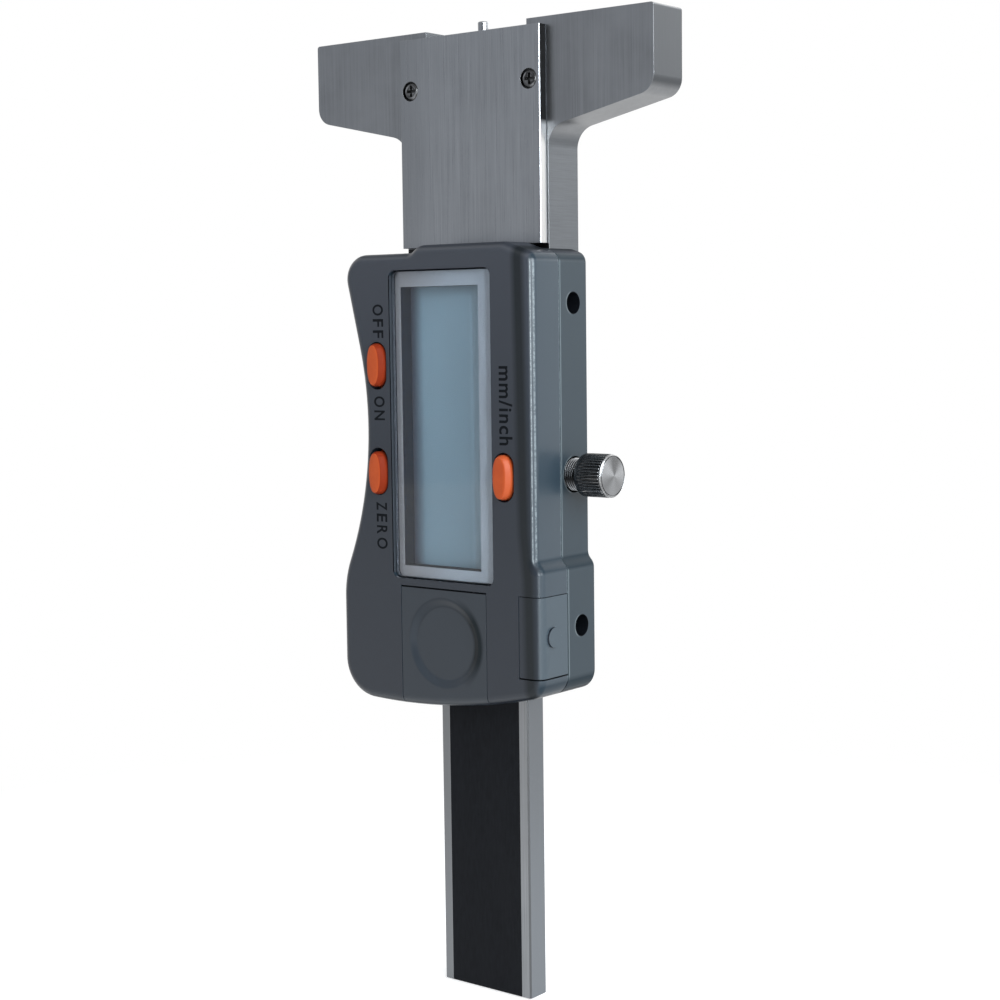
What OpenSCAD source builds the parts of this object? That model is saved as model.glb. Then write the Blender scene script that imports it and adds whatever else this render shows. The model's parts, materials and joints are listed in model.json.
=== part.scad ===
// Digital depth gauge. A T shaped steel base carries a flat sliding beam with a needle,
// and a display housing is clamped round the base's stem.
// The origin lies on the measuring face, at mid width, in the middle of the land behind
// the beam channel. +Z leaves the measuring face, +X is the lock screw's side, and the
// display looks along -Y. Distances named top, low or z are measured from the measuring
// face down.

/* [Base] */
// Width of the base over both wings
base_w = 60; // [52:1:80]
// Thickness of the base from front to back
base_t = 6.8; // [6.6:0.1:8]
// Height of a wing at its outer end
wing_end_h = 11.2; // [9:0.1:13]
// Height of a wing where it meets the stem
wing_root_h = 14.9; // [13.5:0.1:20]
// Radius of the lower outer corner of a wing
wing_corner_r = 2.5; // [1:0.1:4]
// Radius of the fillet between a wing and the stem
wing_fillet_r = 3.2; // [1:0.1:5]
// Width of the steel between the gib's slot and the stem's side
land_w = 3.55; // [3:0.05:5]
// Height of the housing's lower edge below the lower end of the stem
stem_in = 4.65; // [3.8:0.05:5]
// Bevel along the edges of the beam
edge_bevel = 0.25; // [0.1:0.05:0.3]
// Width added to the channel's fixed side at the measuring face
mouth_relief = 0.7; // [0.2:0.1:1.5]
// Height of the wider mouth of the channel
mouth_h = 3; // [1.5:0.1:5]
// Distance of each row of screws from the stem's side
screw_in = 2.15; // [1.8:0.05:2.4]

/* [Beam] */
// Width of the beam
beam_w = 16; // [12:0.1:20]
// Thickness of the beam
beam_t = 3.8; // [3.2:0.1:4]
// Length of the beam without its needle
beam_l = 133.75; // [115:0.25:160]
// Diameter of the needle
needle_d = 1.5; // [1:0.1:2]
// Length of the needle that stands out of the beam
needle_out = 5.05; // [3:0.05:8]
// Height of the needle's tip above the measuring face at rest
needle_proud = 0.75; // [0:0.05:1.5]
// Length of the needle that is held in the beam
needle_seat = 7; // [4:0.5:12]
// Bare steel beside the scale strip, on each side
scale_margin = 1.6; // [1:0.1:3]
// Thickness of the scale strip
scale_t = 0.25; // [0.15:0.05:0.5]

/* [Front plate] */
// Distance of the plate's sides from the stem's sides
plate_side_in = 0.25; // [0.1:0.05:0.5]
// Thickness of the plate
plate_t = 1.5; // [1.3:0.1:2]
// Distance from the measuring face to the plate's upper edge
plate_top = 1.1; // [0.5:0.1:3]
// Height of the plate's lower edge above the housing's top
plate_clear = 0.9; // [0.8:0.05:1.4]
// Distance from the measuring face to the plate screws
plate_screw_z = 8.3; // [5:0.1:20]
// Thread diameter of the plate screws
plate_screw_d = 1.6; // [1.4:0.1:2]
// Head diameter of the plate screws
plate_head_d = 2.5; // [2.2:0.1:2.8]

/* [Gib and lock] */
// Thickness of the gib strip beside the beam
gib_t = 0.95; // [0.6:0.05:1.2]
// Distance from the housing's top to the upper gib screw
gib_screw_top_in = 7.3; // [6.5:0.1:9]
// Distance from the lower end of the stem to the lower gib screw
gib_screw_low_in = 7.7; // [6:0.1:9]
// Thread diameter of the gib screws
gib_screw_d = 2; // [1.6:0.1:2.5]
// Diameter of the access holes to the gib screws
gib_hole_d = 3; // [2.6:0.1:3.2]
// Diameter of the lock screw's knurled knob
knob_d = 6; // [5:0.1:9]
// Length of the knurled knob
knob_l = 5; // [3:0.1:8]
// Gap between the knob and the housing at rest
knob_gap = 1.65; // [1:0.05:4]
// Diameter of the lock screw's neck
neck_d = 4.6; // [3.6:0.1:4.8]
// Thread diameter of the lock screw in the stem
lock_thread_d = 3; // [2.4:0.1:3.2]
// Number of grooves round the knob
knurl_count = 40; // [24:1:60]

/* [Housing outline] */
// Distance from the measuring face to the top of the housing
housing_top = 31.4; // [24:0.1:40]
// Height of the crown above the housing's top
crown_h = 1.05; // [0.6:0.05:1.3]
// Left end of the crown, from the middle
crown_left = 4.3; // [2:0.1:6]
// Right end of the crown, from the stem's side
crown_right_in = 3.05; // [2.5:0.05:5]
// How far the housing's right side stands out from the stem's side
cheek_t = 2.45; // [2.2:0.05:4]
// Width that the housing gains on the right below its step
flare = 1; // [0.4:0.1:1.6]
// Height of that step above the port cover
flare_up = 5.25; // [4.5:0.05:7]
// How far the upper left corner stands out from the stem's side
shoulder_out = 6; // [5:0.05:7]
// How far the waist stands out from the stem's side
waist_out = 2.45; // [1.8:0.05:3]
// Distance from the housing's top to the narrowest place of the waist
waist_in = 24.6; // [20:0.1:29]
// Radius of the hollow waist
waist_r = 50; // [45:1:60]
// How far the hip stands out from the stem's side
hip_out = 7.5; // [6.5:0.05:9]
// Radius of the housing's curved lower edge
belly_r = 100; // [80:1:130]

/* [Housing depth] */
// How far the joint line of the two shells stands before the front of the base
seam_proud = 1.1; // [1.1:0.05:1.3]
// How far the housing's back lies before the back of the base
back_step = 1.7; // [1:0.1:1.8]
// Radius round the front edge of the housing
front_fillet = 1.4; // [0.8:0.1:1.5]
// Thickness of the front wall
front_wall = 1.5; // [1.4:0.1:1.8]
// Thickness of the side walls
side_wall = 1; // [0.8:0.05:1.05]

/* [Display] */
// Distance of the window's left edge from the stem's side
window_left_in = 2.6; // [2.55:0.01:4]
// Distance of the window's right edge from the stem's side
window_right_in = 4.55; // [4.5:0.05:6]
// Distance from the housing's top to the window's upper edge
window_top_in = 2.35; // [2.1:0.05:4]
// Height of the window
window_h = 43.7; // [36:0.1:52]
// Corner radius of the window
window_r = 1.1; // [0.6:0.1:2]
// Thickness of the clear lens
lens_t = 0.8; // [0.5:0.1:1]
// Thickness of the printed border behind the lens
border_t = 0.1; // [0.05:0.05:0.15]
// Width of the border on the left
border_left = 1.27; // [1.2:0.01:3]
// Width of the border on the right
border_right = 3; // [1.2:0.1:4]
// Width of the border at the top
border_top = 2.35; // [1.2:0.05:5]
// Width of the border at the bottom
border_low = 1.75; // [1.2:0.05:5]
// Thickness of the display glass
lcd_t = 1.6; // [1.2:0.1:2]

/* [Buttons] */
// Width of a button
button_w = 3.2; // [2.6:0.1:3.2]
// Length of a button
button_l = 6; // [5:0.1:6.2]
// Height of a button above the housing's front
button_proud = 1; // [0.6:0.1:1.4]
// Travel of a button
button_travel = 0.4; // [0.2:0.05:0.4]
// Distance of the two left buttons from the stem's side
button_left_in = 0.2; // [0:0.05:0.5]
// Distance of the right button from the stem's side
button_right_in = 2.55; // [2:0.05:2.6]
// Distance from the window's upper edge to the OFF and ON button
button_high_in = 13.45; // [10:0.05:17]
// Distance from the window's upper edge to the other two buttons and the lock screw
button_low_in = 28.55; // [25:0.05:31]

/* [Battery and data port] */
// Diameter of the button cell
cell_d = 11.6; // [9.5:0.1:12.5]
// Thickness of the button cell
cell_t = 4.2; // [3.6:0.1:5.4]
// Distance of the button cell from the middle, to the left
cell_left = 0.9; // [0.5:0.1:1.2]
// Width of the battery cover beside the button cell
cover_side = 2; // [1.9:0.05:2.3]
// Distance from the window's lower edge to the battery cover's upper edge
cover_drop = 0.95; // [0.8:0.05:2]
// Distance from the battery cover's upper edge to the button cell
cell_drop = 2; // [1.8:0.05:3]
// Distance from the button cell to the housing's lowest point
cell_floor = 3.65; // [3:0.05:4]
// Width of the cover beside its thumb dish
dish_side = 1.35; // [0.6:0.05:2]
// Depth of the thumb dish
dish_h = 0.5; // [0.2:0.05:0.8]
// Distance of the port cover's left edge from the stem's side
port_in = 0.25; // [0:0.05:0.5]
// Height of the port cover
port_h = 11.45; // [10.5:0.05:11.5]
// Diameter of the raised dot on the port cover
dot_d = 2.8; // [2:0.1:3.5]

/* [Housing screws] */
// Distance from the housing's top to the upper housing screws
screw_top_in = 3.6; // [3.5:0.05:3.8]
// Distance from the lower end of the stem to the lower housing screws
screw_low_in = 1.9; // [1.8:0.05:2]
// Thread diameter of the housing screws
housing_screw_d = 1.6; // [1.4:0.1:1.7]
// Head diameter of the housing screws
housing_head_d = 2.6; // [2.2:0.1:2.8]

/* [Hidden] */

// Overrun of every cut beyond the surface that it leaves through
cut = 0.5;
// Steps round a full circle of the turned pieces
$fn = 48;
// Steps per degree on an arc as wide as the stem
arc_detail = 0.4;
// Straight run left between two arcs of an outline that would otherwise touch
lead = 0.2;

// Clearances: beam to plate, to the channel floor, and to the fixed side
beam_front_gap = 0.2;
beam_back_gap = 0.1;
beam_side_gap = 0.05;
// Clearance of a strip that lies loosely in its slot
slot_gap = 0.2;
// Radial clearance of a thread or pin in its own hole
thread_gap = 0.03;
// Clearance between the housing and the steel that it goes round
housing_gap = 0.1;
// Visible gap round a cover that slides in the housing
cover_gap = 0.1;

// Levels across, from the middle to the stem's side and from there in or out
gib_right = beam_w / 2 + beam_side_gap + gib_t;
channel_right = gib_right + slot_gap;
channel_left = -beam_w / 2 - beam_side_gap;
stem_side = channel_right + land_w;
plate_side = stem_side - plate_side_in;
screw_x = stem_side - screw_in;
housing_right = stem_side + cheek_t;
window_left = stem_side - window_left_in;
window_right = stem_side - window_right_in;
view_left = window_left - border_left;
view_right = window_right - border_right;
cell_x = -cell_left;
cover_half = cell_d / 2 + cover_side;
port_left = stem_side - port_in;

// Levels down from the measuring face
plate_low = housing_top - plate_clear;
window_top = housing_top + window_top_in;
window_low = window_top + window_h;
view_top = window_top + border_top;
view_low = window_low - border_low;
lock_z = window_top + button_low_in;
cover_top = window_low + cover_drop;
cell_z = cover_top + cell_drop + cell_d / 2;
port_top = cover_top;
port_low = port_top + port_h;
housing_low = cell_z + cell_d / 2 + cell_floor;
stem_low = housing_low - stem_in;
gib_screw_zs = [housing_top + gib_screw_top_in, stem_low - gib_screw_low_in];
housing_screw_zs = [housing_top + screw_top_in, stem_low - screw_low_in];
buttons = [
    [button_left_in - stem_side, -window_top - button_high_in],
    [button_left_in - stem_side, -window_top - button_low_in],
    [stem_side - button_right_in, -window_top - button_low_in]
];

// Depth levels along Y
cell_lift = 0.4;
contact_h = 0.3;
housing_proud = front_wall + cell_lift + cell_t + contact_h + seam_proud;
channel_d = beam_front_gap + beam_t + beam_back_gap;
front_y = -(channel_d + base_t) / 2;
back_y = front_y + base_t;
floor_y = front_y + channel_d;
beam_front_y = front_y + beam_front_gap;
beam_mid_y = beam_front_y + beam_t / 2;
plate_front_y = front_y - plate_t;
housing_front_y = front_y - housing_proud;
housing_back_y = back_y - back_step;
seam_gap = 0.1;
seam_front_y = front_y - seam_proud - seam_gap / 2;
seam_back_y = front_y - seam_proud + seam_gap / 2;

beam_top = needle_proud - needle_out;
beam_low = beam_top - beam_l;

// Housing outline: a round end or hollow is a circle, and a minus radius is a hollow
corner_r = 1.6;
shoulder_drop = 0.2;
crown_r = 3;
crown_end_r = 2.5;
crown_foot_r = 1.5;
shoulder_r = 3.45;
hip_r = 14;
low_left_r = 5.6;
low_right_r = 3;
flare_r = 1.6;
flare_top = port_top - flare_up;
waist_z = housing_top + waist_in;
belly_x = -10;
belly_z = belly_r - housing_low;

// Points of an outline that rolls round circles [x, z, radius], left hand side inwards
function shared_normal(a, b) =
    let (span = norm([b[0] - a[0], b[1] - a[1]]))
    atan2(b[1] - a[1], b[0] - a[0]) - acos((a[2] - b[2]) / span);
function turn_of(angle, sense) = sense * (angle * sense - 360 * floor((angle * sense + 90) / 360));
function arc_steps(r, sweep) =
    max(1, ceil(abs(sweep) * sqrt(abs(r) / (2 * stem_side)) * arc_detail));
function outline(circles, inset = 0) = [
    for (i = [0 : len(circles) - 1])
        let (
            last = circles[(i + len(circles) - 1) % len(circles)],
            here = circles[i],
            next = circles[(i + 1) % len(circles)],
            start = shared_normal(last, here),
            sweep = turn_of(shared_normal(here, next) - start, here[2] < 0 ? -1 : 1),
            steps = arc_steps(here[2], sweep),
            r = here[2] - inset
        )
        for (k = [0 : steps])
            let (a = start + sweep * k / steps)
            [here[0] + r * cos(a), here[1] + r * sin(a)]
];
// Run between the centres of a round end and a hollow that make a step of the given height
function bend_run(r_end, r_hollow, step) =
    sqrt(pow(r_end + r_hollow, 2) + pow(lead, 2) - pow(r_end + r_hollow - step, 2));
// Height of a small circle's centre that lets it run into the belly's wide arc
function belly_corner_z(x, r) =
    belly_z - sqrt(pow(belly_r - r, 2) + pow(lead, 2) - pow(x - belly_x, 2));
function box_circles(x0, x1, z0, z1, r) =
    [[x1 - r, z1 - r, r], [x0 + r, z1 - r, r], [x0 + r, z0 + r, r], [x1 - r, z0 + r, r]];
function oval_circles(x, z, w, l) =
    [[x, z + (l - w) / 2, w / 2], [x, z - (l - w) / 2, w / 2]];

waist_x = -stem_side - waist_out - waist_r;
hip_x = -stem_side - hip_out + hip_r;
hip_z = -waist_z - sqrt(pow(waist_r + hip_r, 2) + pow(lead, 2) - pow(hip_x - waist_x, 2));
low_left_x = -stem_side - hip_out + low_left_r;
low_right_x = housing_right + flare - low_right_r;
housing_circles = [
    [housing_right - corner_r, -housing_top - shoulder_drop - corner_r, corner_r],
    [stem_side - crown_right_in, crown_h - housing_top - crown_r, crown_r],
    [-crown_left, crown_h - housing_top - crown_end_r, crown_end_r],
    [-crown_left - bend_run(crown_end_r, crown_foot_r, crown_h), crown_foot_r - housing_top,
        -crown_foot_r],
    [shoulder_r - stem_side - shoulder_out, -housing_top - shoulder_r, shoulder_r],
    [waist_x, -waist_z, -waist_r],
    [hip_x, hip_z, hip_r],
    [low_left_x, belly_corner_z(low_left_x, low_left_r), low_left_r],
    [belly_x, belly_z, belly_r],
    [low_right_x, belly_corner_z(low_right_x, low_right_r), low_right_r],
    [housing_right + flare - flare_r, -flare_top - bend_run(flare_r, flare_r, flare), flare_r],
    [housing_right + flare_r, -flare_top, -flare_r]
];

// Base outline: two wings with sloping lower edges, and the stem between them
steel_corner_r = 0.4;
wing_slope = (wing_root_h - wing_end_h) / (base_w / 2 - stem_side);
function wing_edge(x) = -wing_end_h - (base_w / 2 - abs(x)) * wing_slope;
slope_length = sqrt(1 + pow(wing_slope, 2));
tip_x = base_w / 2 - wing_corner_r;
root_x = stem_side + wing_fillet_r;
tip_z = wing_edge(tip_x) + wing_corner_r * slope_length;
root_z = wing_edge(root_x) - wing_fillet_r * slope_length;
top_corner_x = base_w / 2 - steel_corner_r;
stem_corner_x = stem_side - steel_corner_r;
base_circles = [
    [top_corner_x, -steel_corner_r, steel_corner_r],
    [-top_corner_x, -steel_corner_r, steel_corner_r],
    [-tip_x, tip_z, wing_corner_r],
    [-root_x, root_z, -wing_fillet_r],
    [-stem_corner_x, steel_corner_r - stem_low, steel_corner_r],
    [stem_corner_x, steel_corner_r - stem_low, steel_corner_r],
    [root_x, root_z, -wing_fillet_r],
    [tip_x, tip_z, wing_corner_r]
];

// Solid with one outline, drawn in at each station [y, inset]; each end is a fan of
// triangles round the middle
module loft(circles, stations) {
    ring = outline(circles);
    n = len(ring);
    last = len(stations) - 1;
    xs = [for (p = ring) p[0]];
    zs = [for (p = ring) p[1]];
    mid_x = (min(xs) + max(xs)) / 2;
    mid_z = (min(zs) + max(zs)) / 2;
    front_mid = n * len(stations);
    polyhedron(
        points = concat(
            [for (s = stations) for (p = outline(circles, s[1])) [p[0], s[0], p[1]]],
            [[mid_x, stations[0][0], mid_z], [mid_x, stations[last][0], mid_z]]
        ),
        faces = [
            for (i = [0 : n - 1])
                let (j = (i + 1) % n)
                each concat(
                    [[front_mid, j, i], [front_mid + 1, last * n + i, last * n + j]],
                    [for (s = [0 : last - 1])
                        [s * n + i, s * n + j, (s + 1) * n + j, (s + 1) * n + i]]
                )
        ],
        convexity = 10
    );
}
// Slab with a rounded front edge and a bevelled back edge
module pillow(circles, y0, y1, front_r, bevel, steps) {
    front = [for (k = [0 : steps])
        let (a = 90 * k / steps)
        [y0 + front_r * (1 - cos(a)), front_r * (1 - sin(a))]];
    loft(circles, concat(front, [[y1 - bevel, 0], [y1, bevel]]));
}
module slab(circles, y0, y1, inset = 0) {
    translate([0, y1, 0]) rotate([90, 0, 0])
        linear_extrude(height = y1 - y0) polygon(outline(circles, inset));
}
module block(x0, x1, y0, y1, z0, z1) {
    translate([x0, y0, z0]) cube([x1 - x0, y1 - y0, z1 - z0]);
}
// Flat bar along Z with bevelled long edges
module bar(w, y0, y1, z0, z1, bevel) {
    translate([0, 0, z0]) linear_extrude(height = z1 - z0)
        polygon([[bevel - w / 2, y0], [w / 2 - bevel, y0], [w / 2, y0 + bevel],
            [w / 2, y1 - bevel], [w / 2 - bevel, y1], [bevel - w / 2, y1],
            [-w / 2, y1 - bevel], [-w / 2, y0 + bevel]]);
}
module rod_y(x, z, y0, y1, r) {
    translate([x, y1, z]) rotate([90, 0, 0]) cylinder(h = y1 - y0, r = r);
}
module rod_x(x0, x1, y, z, r) {
    translate([x0, y, z]) rotate([0, 90, 0]) cylinder(h = x1 - x0, r = r);
}

// Cross head screw along +Y, its head's face at Y 0
cross_w_share = 0.16;
cross_l_share = 0.62;
cross_depth_share = 0.6;
module cross_screw(d, head_d, head_h, length) {
    rim = head_h / 4;
    difference() {
        rotate([-90, 0, 0]) rotate_extrude()
            polygon([[0, 0], [head_d / 2 - rim, 0], [head_d / 2, rim], [head_d / 2, head_h],
                [d / 2, head_h], [d / 2, length - rim], [d / 2 - rim, length], [0, length]]);
        for (turn = [0, 90])
            rotate([0, turn, 0])
                block(-head_d * cross_l_share / 2, head_d * cross_l_share / 2, -cut,
                    head_h * cross_depth_share, -head_d * cross_w_share / 2,
                    head_d * cross_w_share / 2);
    }
}

// Base block
plate_thread_l = 3;
plate_head_h = 0.8;
plate_head_sink = 0.15;
housing_head_h = 1.1;
housing_head_sink = 0.2;
head_gap = 0.15;
lock_radial_gap = thread_gap;
module base_block() {
    color([0.45, 0.46, 0.48]) difference() {
        slab(base_circles, front_y, back_y);
        block(channel_left, channel_right, front_y - cut, floor_y, -stem_low - cut, cut);
        block(channel_left - mouth_relief, channel_right, front_y - cut, floor_y,
            -mouth_h, cut);
        for (side = [-1, 1])
            rod_y(side * screw_x, -plate_screw_z, front_y - cut,
                front_y + plate_thread_l, plate_screw_d / 2 + thread_gap);
        for (z = gib_screw_zs)
            rod_x(channel_right - cut, stem_side + cut, beam_mid_y, -z,
                gib_screw_d / 2 + thread_gap);
        rod_x(channel_right - cut, stem_side + cut, beam_mid_y, -lock_z,
            lock_thread_d / 2 + lock_radial_gap);
        for (side = [-1, 1]) for (z = housing_screw_zs) {
            rod_y(side * screw_x, -z, front_y - cut, back_y + cut,
                housing_screw_d / 2 + thread_gap);
            rod_y(side * screw_x, -z, back_y - housing_head_h - housing_head_sink,
                back_y + cut, housing_head_d / 2 + head_gap);
        }
    }
}

// Cover plate over the beam channel, with its two screws
module front_plate() {
    color([0.42, 0.43, 0.46]) difference() {
        bar(2 * plate_side, plate_front_y, front_y, -plate_low, -plate_top, edge_bevel / 2);
        for (side = [-1, 1]) {
            rod_y(side * screw_x, -plate_screw_z, plate_front_y - cut, front_y + cut,
                plate_screw_d / 2 + head_gap);
            rod_y(side * screw_x, -plate_screw_z, plate_front_y - cut,
                plate_front_y + plate_head_h + plate_head_sink,
                plate_head_d / 2 + head_gap);
        }
    }
}
module plate_screws() {
    color([0.3, 0.31, 0.33])
        for (side = [-1, 1])
            translate([side * screw_x, plate_front_y + plate_head_sink, -plate_screw_z])
                cross_screw(plate_screw_d, plate_head_d, plate_head_h,
                    plate_t - plate_head_sink + plate_thread_l - thread_gap);
}

// Gib strip beside the beam, and the two slotted screws that set it
gib_end_gap = 1;
gib_left = gib_right - gib_t;
gib_top = gib_screw_zs[0] - 2 * gib_screw_d;
gib_low = stem_low - gib_end_gap;
gib_screw_l = 3.1;
gib_slot_share = 0.22;
module gib_strip() {
    color([0.72, 0.6, 0.35])
        block(gib_left, gib_right, front_y + slot_gap, floor_y - slot_gap, -gib_low, -gib_top);
}
module gib_screws() {
    tip_x = gib_right + thread_gap;
    color([0.25, 0.25, 0.27])
        for (z = gib_screw_zs) difference() {
            rod_x(tip_x, tip_x + gib_screw_l, beam_mid_y, -z, gib_screw_d / 2);
            block(tip_x + gib_screw_l - gib_screw_d / 3, tip_x + gib_screw_l + cut,
                beam_mid_y - gib_screw_d, beam_mid_y + gib_screw_d,
                -z - gib_screw_d * gib_slot_share / 2, gib_screw_d * gib_slot_share / 2 - z);
        }
}

// Beam with its scale strip and needle
scale_end = 4;
scale_half = beam_w / 2 - scale_margin;
module beam() {
    color([0.48, 0.5, 0.52]) difference() {
        bar(beam_w, beam_front_y, beam_front_y + beam_t, beam_low, beam_top, edge_bevel);
        block(-scale_half, scale_half, beam_front_y - cut, beam_front_y + scale_t,
            beam_low - cut, beam_top - scale_end);
        translate([0, beam_mid_y, beam_top - needle_seat])
            cylinder(h = needle_seat + cut, r = needle_d / 2 + thread_gap);
    }
}
module scale_strip() {
    color([0.07, 0.07, 0.08])
        block(-scale_half, scale_half, beam_front_y, beam_front_y + scale_t,
            beam_low, beam_top - scale_end);
}
module needle() {
    tip_bevel = needle_d / 10;
    color([0.6, 0.61, 0.63]) translate([0, beam_mid_y, beam_top - needle_seat])
        rotate_extrude()
            polygon([[0, 0], [needle_d / 2, 0],
                [needle_d / 2, needle_seat + needle_out - tip_bevel],
                [needle_d / 2 - tip_bevel, needle_seat + needle_out],
                [0, needle_seat + needle_out]]);
}

// Lock screw with its knurled knob, and the pad at its tip that does not turn
pad_l = 1.15;
pad_gap = 0.32;
pad_x = gib_right + pad_gap;
screw_tip_x = pad_x + pad_l + thread_gap;
neck_x = stem_side + slot_gap + thread_gap * 5;
knob_x = housing_right + knob_gap;
knob_rim = 0.35;
knob_face_rim = 0.5;
knob_dish = 0.45;
neck_grooves = 5;
neck_groove_h = 0.25;
knurl_h = 0.22;
module lock_knob() {
    r_thread = lock_thread_d / 2;
    r_neck = neck_d / 2;
    r_knob = knob_d / 2;
    pitch = (knob_x - housing_right) / neck_grooves;
    turned = concat(
        [[0, screw_tip_x], [r_thread, screw_tip_x], [r_thread, neck_x], [r_neck, neck_x],
            [r_neck, housing_right]],
        [for (g = [0 : neck_grooves - 1])
            each [[r_neck - neck_groove_h, housing_right + (g + 0.5) * pitch],
                [r_neck, housing_right + (g + 1) * pitch]]],
        [[r_knob - knob_rim, knob_x], [r_knob, knob_x + knob_rim],
            [r_knob, knob_x + knob_l - knob_rim], [r_knob - knob_rim, knob_x + knob_l],
            [r_knob - knob_rim - knob_face_rim, knob_x + knob_l],
            [0, knob_x + knob_l - knob_dish]]
    );
    color([0.5, 0.51, 0.52]) translate([0, beam_mid_y, -lock_z]) difference() {
        rotate([0, 90, 0]) rotate_extrude() polygon(turned);
        for (k = [0 : knurl_count - 1])
            rotate([360 * k / knurl_count, 0, 0])
                translate([knob_x + knob_rim * 2, 0, r_knob])
                    rotate([45, 0, 0])
                        block(0, knob_l - 4 * knob_rim, -knurl_h, knurl_h,
                            -knurl_h, knurl_h);
    }
}
module lock_pad() {
    color([0.72, 0.6, 0.35])
        rod_x(pad_x, pad_x + pad_l, beam_mid_y, -lock_z, lock_thread_d / 2 - thread_gap);
}

// Pocket in both shells for the lower end of the front plate
pocket_gap = 0.25;
pocket_h = 0.7;
module plate_pocket() {
    block(-plate_side - pocket_gap, plate_side + pocket_gap, plate_front_y - pocket_gap,
        front_y + cut, -plate_low - pocket_h, crown_h);
}

// Rear shell: two cheeks beside the stem, joined under it and by a thin front frame
seam_bevel = 0.12;
frame_top = plate_low + pocket_h + 1.9 * side_wall;
board_side = stem_side - 0.75 * side_wall;
board_low = stem_low - 0.5 * side_wall;
neck_hole_gap = 0.2;
passage_gap = 0.3;
outer_x = stem_side + hip_out + cut;
module rear_shell() {
    color([0.33, 0.37, 0.4]) difference() {
        slab(housing_circles, seam_back_y, housing_back_y);
        block(-stem_side - housing_gap, stem_side + housing_gap, front_y - housing_gap,
            housing_back_y + cut, -stem_low - housing_gap, cut);
        block(-board_side, board_side, seam_back_y - cut, front_y, -board_low, -frame_top);
        block(-beam_w / 2 - passage_gap, beam_w / 2 + passage_gap,
            front_y - housing_gap, floor_y + passage_gap, -housing_low - cut, -board_low);
        plate_pocket();
        for (z = gib_screw_zs)
            rod_x(0, outer_x, beam_mid_y, -z, gib_hole_d / 2);
        rod_x(0, outer_x, beam_mid_y, -lock_z, neck_d / 2 + neck_hole_gap);
    }
}

// Front shell
boss_r = 1.5;
boss_gap = 0.15;
hole_side_gap = 0.15;
hole_end_gap = 0.4;
cavity_y = housing_front_y + front_wall;
board_front_y = seam_front_y + seam_gap / 2;
rail_w = 0.8;
rail_t = 0.6;
rail_gap = 0.08;
rail_y = cavity_y + rail_gap;
rail_top = cover_top + rail_w;
rail_half = cover_half + rail_w + rail_gap;
window_circles = box_circles(-window_left, window_right, -window_low, -window_top, window_r);
module shell_wall() {
    difference() {
        pillow(housing_circles, housing_front_y, seam_front_y, front_fillet, seam_bevel, 5);
        slab(housing_circles, cavity_y, seam_front_y + cut, side_wall);
    }
}
module front_shell() {
    color([0.27, 0.29, 0.32]) difference() {
        union() {
            shell_wall();
            for (side = [-1, 1]) for (z = housing_screw_zs)
                rod_y(side * screw_x, -z, cavity_y - front_wall / 2,
                    front_y - housing_gap, boss_r);
        }
        slab(window_circles, housing_front_y - cut, cavity_y + cut);
        for (b = buttons)
            slab(oval_circles(b[0], b[1], button_w + 2 * hole_side_gap,
                button_l + 2 * hole_end_gap), housing_front_y - cut, seam_front_y + cut);
        block(cell_x - cover_half, cell_x + cover_half, housing_front_y - cut,
            seam_front_y + cut, -housing_low - cut, -cover_top);
        block(cell_x - rail_half, cell_x + rail_half, cavity_y, rail_y + rail_t + rail_gap,
            -housing_low - cut, -rail_top + rail_gap);
        block(port_left, outer_x, housing_front_y - cut, seam_front_y + cut,
            -port_low, -port_top);
        plate_pocket();
        for (side = [-1, 1]) for (z = housing_screw_zs)
            rod_y(side * screw_x, -z, cavity_y, front_y + cut,
                housing_screw_d / 2 + thread_gap);
    }
}
module housing_screws() {
    length = back_y - housing_head_sink - cavity_y - front_wall;
    color([0.3, 0.31, 0.33])
        for (side = [-1, 1]) for (z = housing_screw_zs)
            translate([side * screw_x, back_y - housing_head_sink, -z])
                rotate([0, 0, 180])
                    cross_screw(housing_screw_d, housing_head_d, housing_head_h, length);
}

// Window: clear lens over a printed border, on the frame that holds the display glass
lens_gap = 0.15;
lens_back_y = cavity_y - border_t;
view_circles = box_circles(-view_left, view_right, -view_low, -view_top, steel_corner_r / 4);
frame_side_gap = 0.2;
lcd_margin = 0.35;
frame_end = 0.45;
zebra_h = 1.1;
lcd_back_y = board_front_y - zebra_h;
lcd_front_y = lcd_back_y - lcd_t;
lcd_circles = box_circles(-view_left - lcd_margin, view_right + lcd_margin,
    -view_low - lcd_margin, -view_top + lcd_margin, steel_corner_r / 4);
module window_lens() {
    color([0.75, 0.85, 0.9, 0.3])
        slab(window_circles, lens_back_y - lens_t, lens_back_y, lens_gap);
}
module lens_border() {
    color([0.56, 0.57, 0.62]) difference() {
        slab(window_circles, lens_back_y, cavity_y, lens_gap);
        slab(view_circles, lens_back_y - cut, cavity_y + cut);
    }
}
module lcd_frame() {
    color([0.2, 0.21, 0.24]) difference() {
        slab(box_circles(-window_left - frame_side_gap, window_right, -window_low - frame_end,
            -window_top + frame_end, steel_corner_r), cavity_y, lcd_back_y);
        slab(view_circles, cavity_y - cut, lcd_back_y + cut);
        slab(lcd_circles, lcd_front_y, lcd_back_y + cut, -housing_gap / 2);
        for (side = [-1, 1])
            rod_y(side * screw_x, -housing_screw_zs[0], cavity_y - cut,
                lcd_back_y + cut, boss_r + boss_gap);
    }
}
module lcd_panel() {
    color([0.45, 0.55, 0.6]) slab(lcd_circles, lcd_front_y, lcd_back_y);
}

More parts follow.
